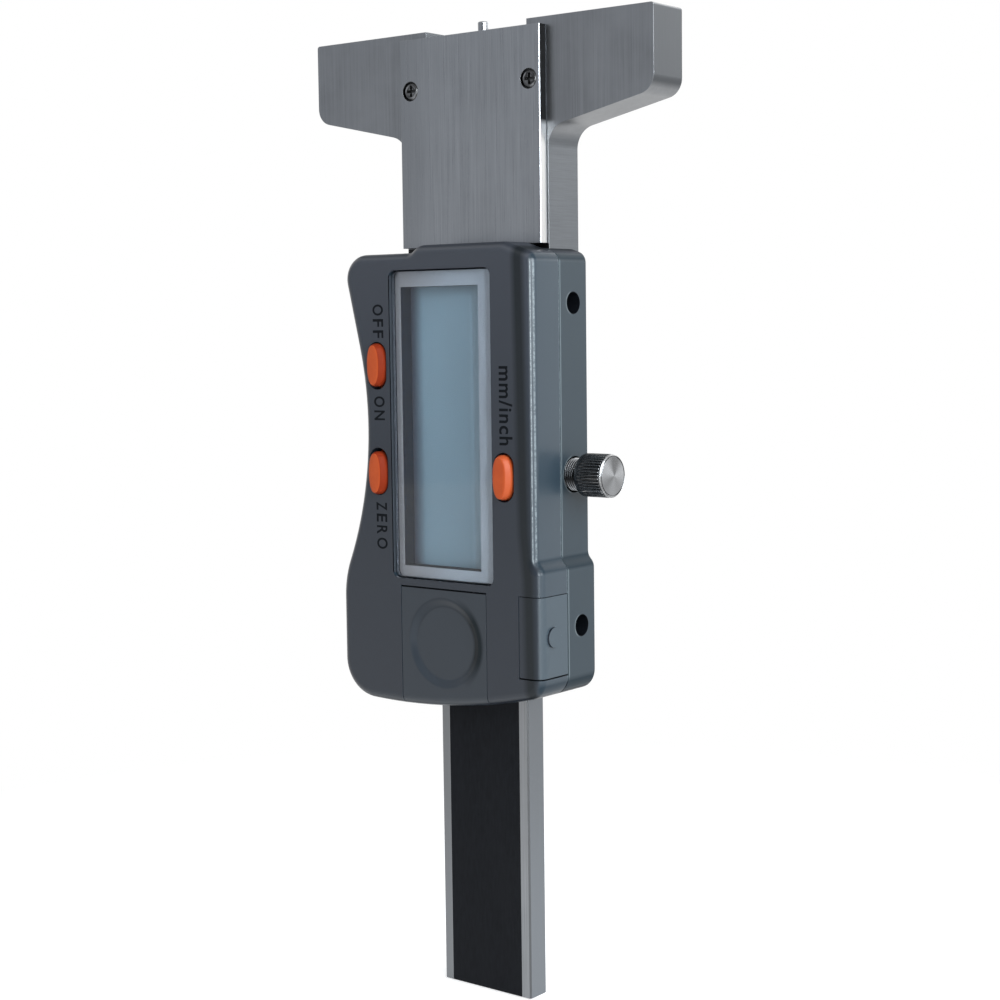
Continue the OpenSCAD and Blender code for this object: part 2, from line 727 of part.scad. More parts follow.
// Circuit board in the rear shell's frame, with what is soldered or pressed on it
board_t = 0.95;
board_back_y = board_front_y + board_t;
zebra_w = 1.6;
zebra_end = 3;
chip_h = 0.75;
module circuit_board() {
    notch = boss_r + boss_gap;
    color([0.1, 0.35, 0.2]) difference() {
        block(-board_side + housing_gap, board_side - housing_gap, board_front_y,
            board_back_y, -board_low + housing_gap, -frame_top - housing_gap);
        for (side = [-1, 1]) for (z = housing_screw_zs)
            translate([side * (screw_x + notch / 2), 0, -z])
                block(-notch * 1.5, notch * 1.5, board_front_y - cut, board_back_y + cut,
                    -notch, notch);
    }
}
module zebra_strips() {
    color([0.75, 0.45, 0.5])
        for (x = [-view_left, view_right - zebra_w])
            block(x, x + zebra_w, lcd_back_y, board_front_y, -view_low + zebra_end,
                -view_top - zebra_end);
}
// Middle, width and height of each chip, as shares of the clear view
chip_shares = [[0.35, 0.42, 0.42, 0.2], [0.62, 0.7, 0.3, 0.1], [0.34, 0.2, 0.18, 0.05]];
module board_chips() {
    view_w = view_left + view_right;
    view_h = view_low - view_top;
    color([0.08, 0.08, 0.09])
        for (c = chip_shares)
            translate([c[0] * view_w - view_left, 0, -view_top - c[1] * view_h])
                block(-c[2] * view_w / 2, c[2] * view_w / 2, board_front_y - chip_h,
                    board_front_y, -c[3] * view_h / 2, c[3] * view_h / 2);
}

// Buttons: an oval cap through the front wall, a flange behind it and a post to a switch
flange_t = 0.5;
flange_gap = 0.05;
flange_outer = 0.75;
flange_inner = 1.8;
flange_over = 0.7;
post_r = 0.5;
switch_r = 0.7;
switch_w = 1.5;
switch_h = 0.5;
switch_rise = 0.5;
switch_gap = 0.1;
post_in = 1.3;
switch_top_y = board_front_y - switch_h - switch_rise;
function post_x(b) = b[0] < 0 ? b[0] + post_in : b[0];
module key_switches() {
    color([0.75, 0.74, 0.7])
        for (b = buttons) {
            block(post_x(b) - switch_w / 2, post_x(b) + switch_w / 2,
                board_front_y - switch_h, board_front_y, b[1] - switch_w, b[1] + switch_w);
            rod_y(post_x(b), b[1], switch_top_y, board_front_y - switch_h, switch_r);
        }
}
cap_round = 0.55;
module button_cap(b) {
    flange_y = cavity_y + flange_gap;
    inner = b[0] < 0 ? 1 : -1;
    edges = [b[0] - inner * flange_outer, b[0] + inner * flange_inner];
    color([0.84, 0.35, 0.15]) {
        pillow(oval_circles(b[0], b[1], button_w, button_l), housing_front_y - button_proud,
            flange_y + flange_t / 2, cap_round, flange_gap, 4);
        block(min(edges), max(edges), flange_y, flange_y + flange_t,
            b[1] - button_l / 2 - flange_over, b[1] + button_l / 2 + flange_over);
        rod_y(post_x(b), b[1], flange_y + flange_t / 2,
            switch_top_y - button_travel - switch_gap, post_r);
    }
}
module button_off_on() {
    button_cap(buttons[0]);
}
module button_zero() {
    button_cap(buttons[1]);
}
module button_mm_inch() {
    button_cap(buttons[2]);
}

// Button cell in its holder, with the two spring contacts
cell_front_y = cavity_y + cell_lift;
cell_step = 0.5;
holder_wall = 0.9;
holder_gap = 0.15;
contact_w = 3;
contact_t = 0.2;
contact_l = 6;
module battery() {
    r = cell_d / 2;
    color([0.7, 0.71, 0.72]) translate([cell_x, cell_front_y, -cell_z])
        rotate([-90, 0, 0]) rotate_extrude()
            polygon([[0, 0], [r - cell_step / 2, 0], [r, cell_step / 2],
                [r, cell_t - cell_step * 2], [r - cell_step, cell_t - cell_step],
                [r - cell_step, cell_t], [0, cell_t]]);
}
module battery_holder() {
    r = cell_d / 2 + holder_gap;
    half = cell_d / 2 + holder_gap + holder_wall;
    color([0.12, 0.12, 0.13]) difference() {
        block(cell_x - half, cell_x + half, cell_front_y + cell_step, board_front_y,
            -cell_z - half, -cell_z + half);
        rod_y(cell_x, -cell_z, cell_front_y - cut, board_front_y + cut, r);
        for (side = [-1, 1])
            rod_y(side * screw_x, -housing_screw_zs[1], cell_front_y - cut,
                board_front_y + cut, boss_r + boss_gap);
    }
}
module battery_contact_plus() {
    leaf_y = cell_front_y - contact_t - cover_gap / 2;
    leaf_z = -cell_z + cell_d / 2 + holder_gap + holder_wall + contact_t;
    color([0.75, 0.72, 0.6]) {
        block(cell_x - contact_w / 2, cell_x + contact_w / 2, leaf_y, leaf_y + contact_t,
            leaf_z - contact_l, leaf_z + contact_t);
        block(cell_x - contact_w / 2, cell_x + contact_w / 2, leaf_y, board_front_y,
            leaf_z, leaf_z + contact_t);
    }
}
module battery_contact_minus() {
    color([0.75, 0.72, 0.6])
        block(cell_x - contact_w / 2, cell_x + contact_w / 2,
            cell_front_y + cell_t, board_front_y, -cell_z - contact_l / 2,
            -cell_z + contact_l / 2);
}

// Battery cover: the piece of the shell's front and lower wall between its two rails
dish_rim = 1.3;
dish_steps = 6;
module battery_cover() {
    half = cover_half - cover_gap;
    dish_r = cover_half - dish_side;
    rim = [for (k = [0 : dish_steps])
        let (share = k / dish_steps)
        [dish_r - dish_rim * share, dish_h * (1 - cos(180 * share)) / 2]];
    rail_low = -cell_z - cell_d / 2;
    color([0.27, 0.29, 0.32]) difference() {
        union() {
            intersection() {
                shell_wall();
                block(cell_x - half, cell_x + half, housing_front_y - cut,
                    seam_front_y - cover_gap, -housing_low - cut, -cover_top - cover_gap);
            }
            for (side = [-1, 1]) {
                tip = cell_x + side * (half + rail_w);
                edge = cell_x + side * half;
                root = cell_x + side * (cell_d / 2 + slot_gap);
                block(min(tip, root), max(tip, root), rail_y, rail_y + rail_t,
                    rail_low, -rail_top);
                block(min(edge, root), max(edge, root), cavity_y - rail_gap, rail_y + rail_t,
                    rail_low, -rail_top);
            }
        }
        translate([cell_x, housing_front_y, -cell_z]) rotate([-90, 0, 0]) rotate_extrude()
            polygon(concat([[0, -cut], [dish_r, -cut]], rim, [[0, dish_h]]));
    }
}

// Data port: a socket with four blades, and the cover that slides off to the side
socket_l = 4.1;
socket_right = stem_side + port_in;
socket_left = socket_right - socket_l;
socket_h = 6.6;
socket_wall = 0.5;
socket_t = 2.1;
socket_mid_z = -(port_top + housing_screw_zs[1] - boss_r) / 2;
blade_t = 0.2;
blade_w = 0.8;
blade_count = 4;
module port_socket() {
    color([0.1, 0.1, 0.11]) difference() {
        block(socket_left, socket_right, board_front_y - socket_t, board_front_y,
            socket_mid_z - socket_h / 2, socket_mid_z + socket_h / 2);
        block(socket_left + 2 * socket_wall, socket_right + cut,
            board_front_y - socket_t + socket_wall, board_front_y - socket_wall,
            socket_mid_z - socket_h / 2 + socket_wall,
            socket_mid_z + socket_h / 2 - socket_wall);
    }
}
module port_contacts() {
    pitch = (socket_h - 2 * socket_wall) / blade_count;
    y = board_front_y - socket_t / 2;
    color([0.85, 0.7, 0.35])
        for (k = [0 : blade_count - 1])
            translate([0, 0, socket_mid_z + (k - (blade_count - 1) / 2) * pitch])
                block(socket_left + 2 * socket_wall, socket_right - socket_wall,
                    y - blade_t / 2, y + blade_t / 2, -blade_w / 2, blade_w / 2);
}
dot_h = 0.3;
dot_y_share = 0.47;
tongue_in = 1.5;
tongue_over = 1;
module port_cover() {
    side_x = housing_right + flare;
    top = -port_top - cover_gap;
    low = -port_low + cover_gap;
    dot_y = housing_front_y + (seam_front_y - housing_front_y) * dot_y_share;
    color([0.31, 0.34, 0.37]) {
        intersection() {
            shell_wall();
            block(port_left + cover_gap, outer_x, housing_front_y - cut,
                seam_front_y - cover_gap, low, top);
        }
        rod_x(side_x - side_wall / 2, side_x + dot_h, dot_y, -(port_top + port_low) / 2,
            dot_d / 2);
        block(port_left - tongue_in, port_left + tongue_over, rail_y, rail_y + rail_t,
            socket_mid_z - socket_h / 2, socket_mid_z + socket_h / 2);
        block(port_left + cover_gap, port_left + tongue_over, cavity_y - rail_gap,
            rail_y + rail_t, socket_mid_z - socket_h / 2, socket_mid_z + socket_h / 2);
    }
}

base_block();
front_plate();
plate_screws();
gib_strip();
gib_screws();
beam();
scale_strip();
needle();
lock_knob();
lock_pad();
rear_shell();
front_shell();
window_lens();
lens_border();
lcd_frame();
lcd_panel();
zebra_strips();
circuit_board();
board_chips();
key_switches();
button_off_on();
button_zero();
button_mm_inch();
battery();
battery_holder();
battery_contact_plus();
battery_contact_minus();
battery_cover();
port_socket();
port_contacts();
port_cover();
housing_screws();
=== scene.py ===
import json
import math

import bmesh
import bpy
from mathutils import Matrix, Vector


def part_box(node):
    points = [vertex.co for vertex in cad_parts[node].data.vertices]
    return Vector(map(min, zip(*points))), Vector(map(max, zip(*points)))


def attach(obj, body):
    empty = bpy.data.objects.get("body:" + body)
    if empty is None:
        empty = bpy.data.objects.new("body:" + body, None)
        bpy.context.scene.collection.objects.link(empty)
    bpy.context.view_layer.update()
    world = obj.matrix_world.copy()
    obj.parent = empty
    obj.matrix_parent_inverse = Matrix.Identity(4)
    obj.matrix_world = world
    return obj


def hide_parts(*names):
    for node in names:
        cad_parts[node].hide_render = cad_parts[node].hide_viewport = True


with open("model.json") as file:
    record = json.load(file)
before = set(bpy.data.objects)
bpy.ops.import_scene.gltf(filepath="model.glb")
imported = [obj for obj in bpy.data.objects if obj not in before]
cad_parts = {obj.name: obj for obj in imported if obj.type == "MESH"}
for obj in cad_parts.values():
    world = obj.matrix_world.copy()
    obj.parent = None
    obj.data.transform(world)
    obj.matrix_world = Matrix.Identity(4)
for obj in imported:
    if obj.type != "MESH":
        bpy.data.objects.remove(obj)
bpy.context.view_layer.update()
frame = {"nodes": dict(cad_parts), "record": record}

MM = 0.001
NODE_BODY = {n: b for b, ns in frame["record"]["behaviour"]["bodies"].items() for n in ns}
NODE_SLOT = {p["node"]: p["material_slot"] for p in frame["record"]["subparts"]}


def end_of(node, end, axis):
    """Where a CAD node starts (end 0) or stops (end 1) along an axis, in millimetres."""
    return round(getattr(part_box(node)[end], axis) / MM, 3)


def middle_of(node, axis):
    return round((end_of(node, 0, axis) + end_of(node, 1, axis)) / 2, 2)


# Places in the row frame and sizes, in millimetres: first the casing, with the depth of its
# rounded front edge and the height where its sides turn into its foot
PARTING_GAP = 0.1
SEAM_Y = end_of("rear_shell", 0, "y") - PARTING_GAP
HOUSING_Y = end_of("front_shell", 0, "y")
FRONT_EDGE_DEPTH = 1.25
CORNER_Z = -90.5

WING_END = end_of("base_block", 1, "x")
PLATE_LOW = end_of("front_plate", 0, "z")
BEAM_MID_Y = middle_of("beam", "y")
BEAM_LEFT = end_of("beam", 0, "x")

KNOB_LENGTH = 5.0
KNOB_X = end_of("lock_knob", 1, "x") - KNOB_LENGTH
NECK_PITCH = 0.36
LOCK_Z = middle_of("lock_knob", "z")

WINDOW_GAP = 0.15
WINDOW_LEFT = end_of("window_lens", 0, "x") - WINDOW_GAP
WINDOW_RIGHT = end_of("window_lens", 1, "x")
WINDOW_LOW = end_of("window_lens", 0, "z")
WINDOW_MID_Z = middle_of("window_lens", "z")
WINDOW_HALF = WINDOW_MID_Z - WINDOW_LOW

COVER_TOP = end_of("battery_cover", 1, "z")
COVER_HALF = 7.75
DISH_X = middle_of("battery_cover", "x")
DISH_Z = middle_of("battery", "z")
DISH_RADIUS = 6.1
PORT_LEFT = end_of("port_cover", 0, "x")
PORT_LOW = end_of("port_cover", 0, "z")

# Height and radius of each access hole in the housing's side
GIB_SCREW_RADIUS = 1.0
HOLES = ((end_of("gib_screws", 1, "z") - GIB_SCREW_RADIUS, 1.5),
         (end_of("gib_screws", 0, "z") + GIB_SCREW_RADIUS, 1.5),
         (LOCK_Z, 2.5))

# Tints for the greys, and every material by its name
COOL = (0.97, 1.0, 1.04)
BLUE = (0.93, 1.0, 1.08)
MATERIALS = {}


def grey(value, tint=(1.0, 1.0, 1.0)):
    return tuple(value * t for t in tint)


class Tree:
    """The nodes of a material or of the world, with short calls that add to them."""

    def __init__(self, owner, output_kind="ShaderNodeOutputMaterial"):
        owner.use_nodes = True
        self.tree = owner.node_tree
        self.tree.nodes.clear()
        self.out = self.add(output_kind)

    def add(self, kind, **values):
        node = self.tree.nodes.new(kind)
        for key, value in values.items():
            setattr(node, key, value)
        return node

    def link(self, a, b):
        self.tree.links.new(a, b)

    def feed(self, node, key, value):
        """Gives an input a plain value, or links it to another node's output."""
        if isinstance(value, bpy.types.NodeSocket):
            self.link(value, node.inputs[key])
        else:
            node.inputs[key].default_value = value

    def math(self, kind, a, b=0.0, c=0.0):
        node = self.add("ShaderNodeMath", operation=kind)
        for k, item in enumerate((a, b, c)):
            self.feed(node, k, item)
        return node.outputs[0]

    def span(self, value, low, high, to_low=0.0, to_high=1.0):
        """Follows a value from low to high, and stays level outside them."""
        node = self.add("ShaderNodeMapRange")
        for key, item in (("Value", value), ("From Min", low), ("From Max", high),
                          ("To Min", to_low), ("To Max", to_high)):
            self.feed(node, key, item)
        return node.outputs[0]

    def shader(self, kind, **inputs):
        node = self.add(kind)
        for key, value in inputs.items():
            self.feed(node, key, value)
        return node.outputs[0]

    def blend(self, factor, a, b):
        """Shader a where the factor is 0, and shader b where it is 1."""
        node = self.add("ShaderNodeMixShader")
        for k, item in enumerate((factor, a, b)):
            self.link(item, node.inputs[k])
        return node.outputs[0]

    def show(self, shader):
        self.link(shader, self.out.inputs["Surface"])

    def seen(self):
        """1 for what the camera, a reflection or the glass shows, and 0 for light that falls."""
        path = self.add("ShaderNodeLightPath")
        seen = path.outputs["Is Camera Ray"]
        for name in ("Is Glossy Ray", "Is Transmission Ray"):
            seen = self.math("MAXIMUM", seen, path.outputs[name])
        return seen


class Net(Tree):
    """A material with a Principled shader, and short calls for the nodes in front of it."""

    def __init__(self, name, color=(0.5, 0.5, 0.5), rough=0.5, metal=0.0):
        MATERIALS[name] = bpy.data.materials.new(name)
        super().__init__(MATERIALS[name])
        self.bsdf = self.add("ShaderNodeBsdfPrincipled")
        self.show(self.bsdf.outputs[0])
        self.set("Base Color", (*color, 1.0))
        self.set("Roughness", rough)
        self.set("Metallic", metal)
        self.coord = self.add("ShaderNodeTexCoord")
        self.shade = None

    def set(self, name, value):
        self.feed(self.bsdf, name, value)

    def at(self, scale):
        """Object coordinates in millimetres, scaled."""
        node = self.add("ShaderNodeMapping")
        node.vector_type = "POINT"
        self.link(self.coord.outputs["Object"], node.inputs["Vector"])
        node.inputs["Scale"].default_value = [s / MM for s in scale]
        return node.outputs[0]

    def noise(self, vector, scale, detail, rough):
        node = self.add("ShaderNodeTexNoise")
        self.link(vector, node.inputs["Vector"])
        for key, value in (("Scale", scale), ("Detail", detail), ("Roughness", rough)):
            node.inputs[key].default_value = value
        return node.outputs[0]

    def times(self, first, *others):
        """The product of several values."""
        for other in others:
            first = self.math("MULTIPLY", first, other)
        return first

    def most(self, first, *others):
        """The largest of several values."""
        for other in others:
            first = self.math("MAXIMUM", first, other)
        return first

    def dim(self, value, mask, share=1.0):
        """A value that loses a share of itself where the mask is 1."""
        return self.times(value, self.math("MULTIPLY_ADD", mask, -share, 1.0))

    def reach(self, a, b):
        """How far a point lies from the middle, from its two coordinates."""
        return self.math("SQRT", self.math("MULTIPLY_ADD", a, a, self.times(b, b)))

    def mix(self, factor, a, b):
        node = self.add("ShaderNodeMix", data_type="RGBA")
        self.feed(node, 0, factor)
        for k, item in ((6, a), (7, b)):
            self.feed(node, k, (*item, 1.0) if isinstance(item, tuple) else item)
        return node.outputs[2]

    def facing(self, name):
        """One part of the surface normal, in the object's own axes."""
        node = self.add("ShaderNodeSeparateXYZ")
        self.link(self.coord.outputs["Normal"], node.inputs[0])
        return node.outputs[name]

    def axis(self, name):
        """The size of one part of the surface normal, without its sign."""
        return self.math("ABSOLUTE", self.facing(name))

    def near(self, value, middle, far, close):
        """1 where a value lies within close of a middle, and 0 from far on."""
        away = self.math("ABSOLUTE", self.math("SUBTRACT", value, middle))
        return self.span(away, far, close)

    def place(self, name, start=0.0):
        """One object coordinate in millimetres, counted from a start."""
        node = self.add("ShaderNodeSeparateXYZ")
        self.link(self.coord.outputs["Object"], node.inputs[0])
        return self.math("MULTIPLY_ADD", node.outputs[name], 1 / MM, -start)

    def wear(self, low, high):
        """1 on the rounded outer edges of a mesh, 0 on its faces."""
        node = self.add("ShaderNodeNewGeometry")
        return self.span(node.outputs["Pointiness"], low, high)

    def bump(self, height, depth, strength):
        """A relief whose height 1 stands depth millimetres high."""
        node = self.add("ShaderNodeBump")
        node.inputs["Strength"].default_value = strength
        node.inputs["Distance"].default_value = depth * MM
        self.link(height, node.inputs["Height"])
        self.set("Normal", node.outputs[0])

    def paint(self, shade, shine):
        self.set("Base Color", shade)
        self.set("Specular IOR Level", shine)


# Kinds of material

def ground_steel(name, level, rough, along, fine, tint=COOL, cloud=0.12):
    """Satin ground steel with scratches along one axis, given as X or Z."""
    net = Net(name, metal=1.0)
    scale = {"X": (0.09, 5.5, 5.5), "Z": (5.5, 5.5, 0.07)}[along]
    lines = net.noise(net.at(scale), fine, 4.0, 0.65)
    broad = net.noise(net.at([s * 0.22 for s in scale]), fine, 2.0, 0.5)
    haze = net.noise(net.at((0.11, 0.11, 0.11)), 1.0, 3.0, 0.6)
    shade = net.mix(net.span(lines, 0.3, 0.7), grey(level * 0.82, tint), grey(level * 1.16, tint))
    shade = net.mix(net.span(broad, 0.35, 0.65, 0.0, 0.35), shade, grey(level * 0.8, tint))
    shade = net.mix(net.span(haze, 0.35, 0.7, 0.0, cloud * 3), shade, grey(level * 1.2, tint))
    net.set("Base Color", shade)
    net.shade = shade
    net.set("Roughness", net.span(lines, 0.25, 0.75, rough - 0.06, rough + 0.08))
    net.bump(lines, 0.012, 0.55)
    return net


def moulded(name, color, rough, grain, speck=0.25):
    """Moulded plastic with the fine even texture of an etched mould."""
    net = Net(name, rough=rough)
    dots = net.noise(net.at((1, 1, 1)), 4.2, 2.0, 0.6)
    haze = net.noise(net.at((0.09, 0.09, 0.09)), 1.0, 3.0, 0.6)
    light = tuple(c * (1 + speck) for c in color)
    dark = tuple(c * (1 - speck) for c in color)
    shade = net.mix(net.span(dots, 0.35, 0.65), dark, light)
    shade = net.mix(net.span(haze, 0.35, 0.7, 0.0, 0.25), shade, light)
    net.paint(shade, 0.45)
    net.shade = shade
    net.set("Roughness", net.span(dots, 0.3, 0.7, rough - 0.06 * grain, rough + 0.1 * grain))
    net.bump(dots, 0.008 * grain, 0.6)
    return net


def cased(name, color, rough):
    """Plastic of the casing, with its shade and its shine left open for more marks.

    Painted light and shade: the front is painted greyer than the sides and fades a little
    downwards, with a painted dark reflection just before its right edge. Slopes that look up or
    down get painted shade and are dull.
    """
    net = moulded(name, color, rough, 0.2, 0.04)
    side = net.span(net.facing("X"), 0.5, 0.75)
    # painted dark reflection: the dark band leans outwards as it comes down, and steps out at the
    # foot
    dark_reflection_x, lean, step = 12.3, -0.018, 0.55
    foot_top, foot_low = -70.0, -76.0
    z = net.place("Z")
    middle = net.math("MULTIPLY_ADD", z, lean, dark_reflection_x)
    middle = net.math("ADD", middle, net.span(z, foot_top, foot_low, 0.0, step))
    dark_reflection = net.dim(net.near(net.place("X"), middle, 1.35, 0.4), side)
    # painted light and shade: the front is painted greyer than the sides, and fades downwards
    fade_top, fade_low = -32.0, -60.0
    broad = net.mix(net.span(z, fade_top, fade_low), (0.035, 0.040, 0.051), (0.0165, 0.0215, 0.0305))
    broad = net.mix(dark_reflection, broad, (0.012, 0.015, 0.018))
    shade = net.mix(side, broad, net.shade)
    # painted shade, and less shine, on slopes that look up or down
    dull_shaded_slope = net.most(net.span(net.axis("Z"), 0.5, 0.75),
                     net.times(side, net.span(net.axis("Z"), 0.06, 0.3)))
    dull_shaded_slope = net.math("SUBTRACT", dull_shaded_slope, net.span(net.facing("Z"), -0.8, -0.95, 0.0, 0.7))
    shade = net.mix(net.times(dull_shaded_slope, 0.25), shade, (0.004, 0.005, 0.006))
    shine = net.math("MULTIPLY_ADD", side, 0.15, 0.45)
    shine = net.dim(shine, dark_reflection, 0.5)
    shine = net.dim(shine, dull_shaded_slope, 0.85)
    return net, shade, shine


# Metals

def base_steel():
    """The stem's sides carry marks that run across; the sides and the wing ends get painted shade.
    """
    net = ground_steel("base_steel", 0.25, 0.36, "Z", 0.8, cloud=0.2)
    marked_and_shaded_sides = net.span(net.axis("X"), 0.75, 0.95)
    marks = net.span(net.noise(net.at((0.2, 0.2, 9.0)), 1.0, 3.0, 0.6), 0.35, 0.7)
    # painted shade: the sides and the wing ends are a darker, bluer grey than the front
    side = net.mix(marks, grey(0.18, BLUE), grey(0.15, BLUE))
    outer = net.span(net.math("ABSOLUTE", net.place("X")), WING_END - 0.6, WING_END - 0.2)
    side = net.mix(outer, side, grey(0.105, BLUE))
    shade = net.mix(marked_and_shaded_sides, net.shade, side)
    # below the plate the front lies in the dark behind the housing
    under = net.times(net.span(net.place("Z"), PLATE_LOW - 0.02, PLATE_LOW - 0.1),
                      net.span(net.axis("Y"), 0.75, 0.95))
    net.set("Base Color", net.mix(under, shade, grey(0.03)))


def plate_steel():
    """The sides are polished, with painted shade where they stand against the wings."""
    net = ground_steel("plate_steel", 0.32, 0.3, "Z", 1.0)
    side = net.span(net.axis("X"), 0.75, 0.9)
    # painted shade on the sides where they stand against the wings
    wing_z = -14.2
    high = net.span(net.place("Z"), wing_z - 0.4, wing_z + 0.4)
    polished_and_shaded = net.mix(high, grey(0.68), grey(0.025))
    # the front is a little darker towards its left edge
    fade_right, fade_left = -5.0, -12.4
    left = net.span(net.place("X"), fade_right, fade_left, 0.0, 0.75)
    shade = net.mix(left, net.shade, grey(0.26, COOL))
    net.set("Base Color", net.mix(side, shade, polished_and_shaded))


def dark_screw():
    net = Net("dark_screw", metal=1.0)
    rings = net.noise(net.at((1, 1, 1)), 3.0, 3.0, 0.6)
    shade = net.mix(net.span(rings, 0.3, 0.7), grey(0.035), grey(0.075))
    net.set("Base Color", net.mix(net.wear(0.51, 0.57), shade, grey(0.32)))
    net.set("Roughness", net.span(rings, 0.3, 0.7, 0.26, 0.42))
    net.bump(rings, 0.01, 0.5)


def brass():
    net = Net("brass", metal=1.0)
    lines = net.noise(net.at((4, 4, 0.1)), 1.0, 3.0, 0.6)
    net.set("Base Color", net.mix(net.span(lines, 0.3, 0.7), (0.55, 0.37, 0.13), (0.78, 0.58, 0.25)))
    net.set("Roughness", net.span(lines, 0.3, 0.7, 0.25, 0.4))
    net.bump(lines, 0.01, 0.5)


def beam_steel():
    """The strip of steel left of the scale is darker; the sides and rounded edges get painted shade.
    """
    net = ground_steel("beam_steel", 0.25, 0.34, "Z", 1.0)
    left = net.span(net.place("X", BEAM_LEFT), 1.7, 1.4)
    shade = net.mix(left, net.shade, grey(0.195, COOL))
    # painted shade: a bluer grey on the sides, and darker rounded edges
    side = net.span(net.axis("X"), 0.75, 0.95)
    shade = net.mix(side, shade, grey(0.2, BLUE))
    net.set("Base Color", net.mix(net.near(net.axis("X"), 0.7, 0.22, 0.15), shade, grey(0.1, COOL)))


def scale_foil():
    net = Net("scale_foil", rough=0.42)
    grain = net.noise(net.at((3.2, 3.2, 0.5)), 1.0, 3.0, 0.6)
    haze = net.noise(net.at((0.12, 0.12, 0.05)), 1.0, 3.0, 0.6)
    shade = net.mix(net.span(grain, 0.3, 0.7), (0.0065, 0.007, 0.0085), (0.011, 0.012, 0.0145))
    shade = net.mix(net.span(haze, 0.35, 0.7, 0.0, 0.4), shade, (0.013, 0.0135, 0.016))
    net.paint(shade, 0.05)
    net.set("Roughness", net.span(grain, 0.3, 0.7, 0.38, 0.5))
    net.bump(grain, 0.006, 0.5)


def knob_steel():
    """Turned steel: the tool marks run round the axis, so the shine spreads across them."""
    net = Net("knob_steel", metal=1.0)
    dy = net.place("Y", BEAM_MID_Y)
    dz = net.place("Z", LOCK_Z)
    turn = net.math("ARCTAN2", dz, dy)
    marks = net.noise(net.at((6.0, 1.2, 1.2)), 1.0, 3.0, 0.6)
    shade = net.mix(net.span(marks, 0.3, 0.7), grey(0.055, COOL), grey(0.1, COOL))
    shade = net.mix(net.wear(0.51, 0.58), shade, grey(0.36))
    # painted light on the neck before the head: light stripes along its thread, and painted shade
    # across its middle
    neck = net.span(net.place("X"), KNOB_X - 0.05, KNOB_X - 0.15)
    thread = net.math("MULTIPLY_ADD", net.place("X"), 2 * math.pi / NECK_PITCH, turn)
    thread = net.math("SINE", thread)
    thread_light_and_shade = net.mix(net.span(thread, 0.0, 0.6), grey(0.03, COOL), grey(0.3, COOL))
    thread_light_and_shade = net.mix(net.near(dz, 0.0, 1.5, 0.5), thread_light_and_shade, grey(0.012, COOL))
    shade = net.mix(neck, shade, thread_light_and_shade)
    # painted reflection: light and dark sectors on the turned face, and its fine rings
    face = net.span(net.axis("X"), 0.8, 0.95)
    fan = net.math("ADD", net.math("SINE", net.math("MULTIPLY_ADD", turn, 2.0, 2.2)),
                   net.math("SINE", net.math("MULTIPLY_ADD", turn, 3.0, 0.5)))
    painted_reflection_sectors = net.mix(net.span(fan, -1.6, 1.6), grey(0.16, COOL), grey(0.5, COOL))
    shade = net.mix(face, shade, painted_reflection_sectors)
    radians_per_mm = 34.0
    rings = net.math("SINE", net.times(net.reach(dy, dz), radians_per_mm))
    shade = net.mix(net.times(face, net.span(rings, -1.0, 1.0, 0.0, 0.35)), shade, grey(0.30))
    net.set("Base Color", shade)
    net.set("Roughness", net.span(marks, 0.3, 0.7, 0.2, 0.34))
    net.set("Anisotropic", 0.4)
    tangent = net.add("ShaderNodeTangent", direction_type="RADIAL", axis="X")
    net.set("Tangent", tangent.outputs[0])
    net.bump(net.times(rings, face), 0.004, 0.6)


# The casing and its marks

def painted_edge_highlight(net, shade, flecks):
    """Painted highlights: two speckled pale lines along the long front edge's rounding."""
    highlight_low = -74.5
    edge_y = HOUSING_Y + FRONT_EDGE_DEPTH
    turned = net.axis("Y")
    edge_highlight = net.most(net.near(turned, 0.715, 0.06, 0.02), net.near(turned, 0.43, 0.13, 0.06))
    edge_highlight = net.times(edge_highlight, flecks,
                     net.span(net.facing("X"), 0.45, 0.55),
                     net.span(net.axis("Z"), 0.3, 0.1),
                     net.span(net.place("Y"), edge_y, edge_y - 0.1),
                     net.span(net.place("Z"), highlight_low - 0.5, highlight_low + 0.5))
    return net.mix(edge_highlight, shade, (0.16, 0.19, 0.207))


def parting_line(net, shade):
    """A pale dotted painted highlight runs along the parting edge, and a dark joint round the
    corner.
    """
    dots = net.span(net.noise(net.at((1, 1, 1)), 3.2, 2.0, 0.7), 0.46, 0.6, 0.25, 1.0)
    line = net.span(net.place("Y"), SEAM_Y - 0.22, SEAM_Y - 0.08)
    corner = net.span(net.place("Z"), CORNER_Z + 0.5, CORNER_Z - 0.5)
    upright = net.span(net.axis("Z"), 0.3, 0.1)
    edge = net.times(line, net.most(corner, net.times(upright, dots)))
    return net.mix(edge, shade, net.mix(corner, (0.19, 0.235, 0.255), (0.008, 0.009, 0.011)))


def within_cover(net):
    """1 between the battery cover's left and right edges."""
    return net.near(net.place("X"), DISH_X, COVER_HALF + 0.05, COVER_HALF - 0.05)


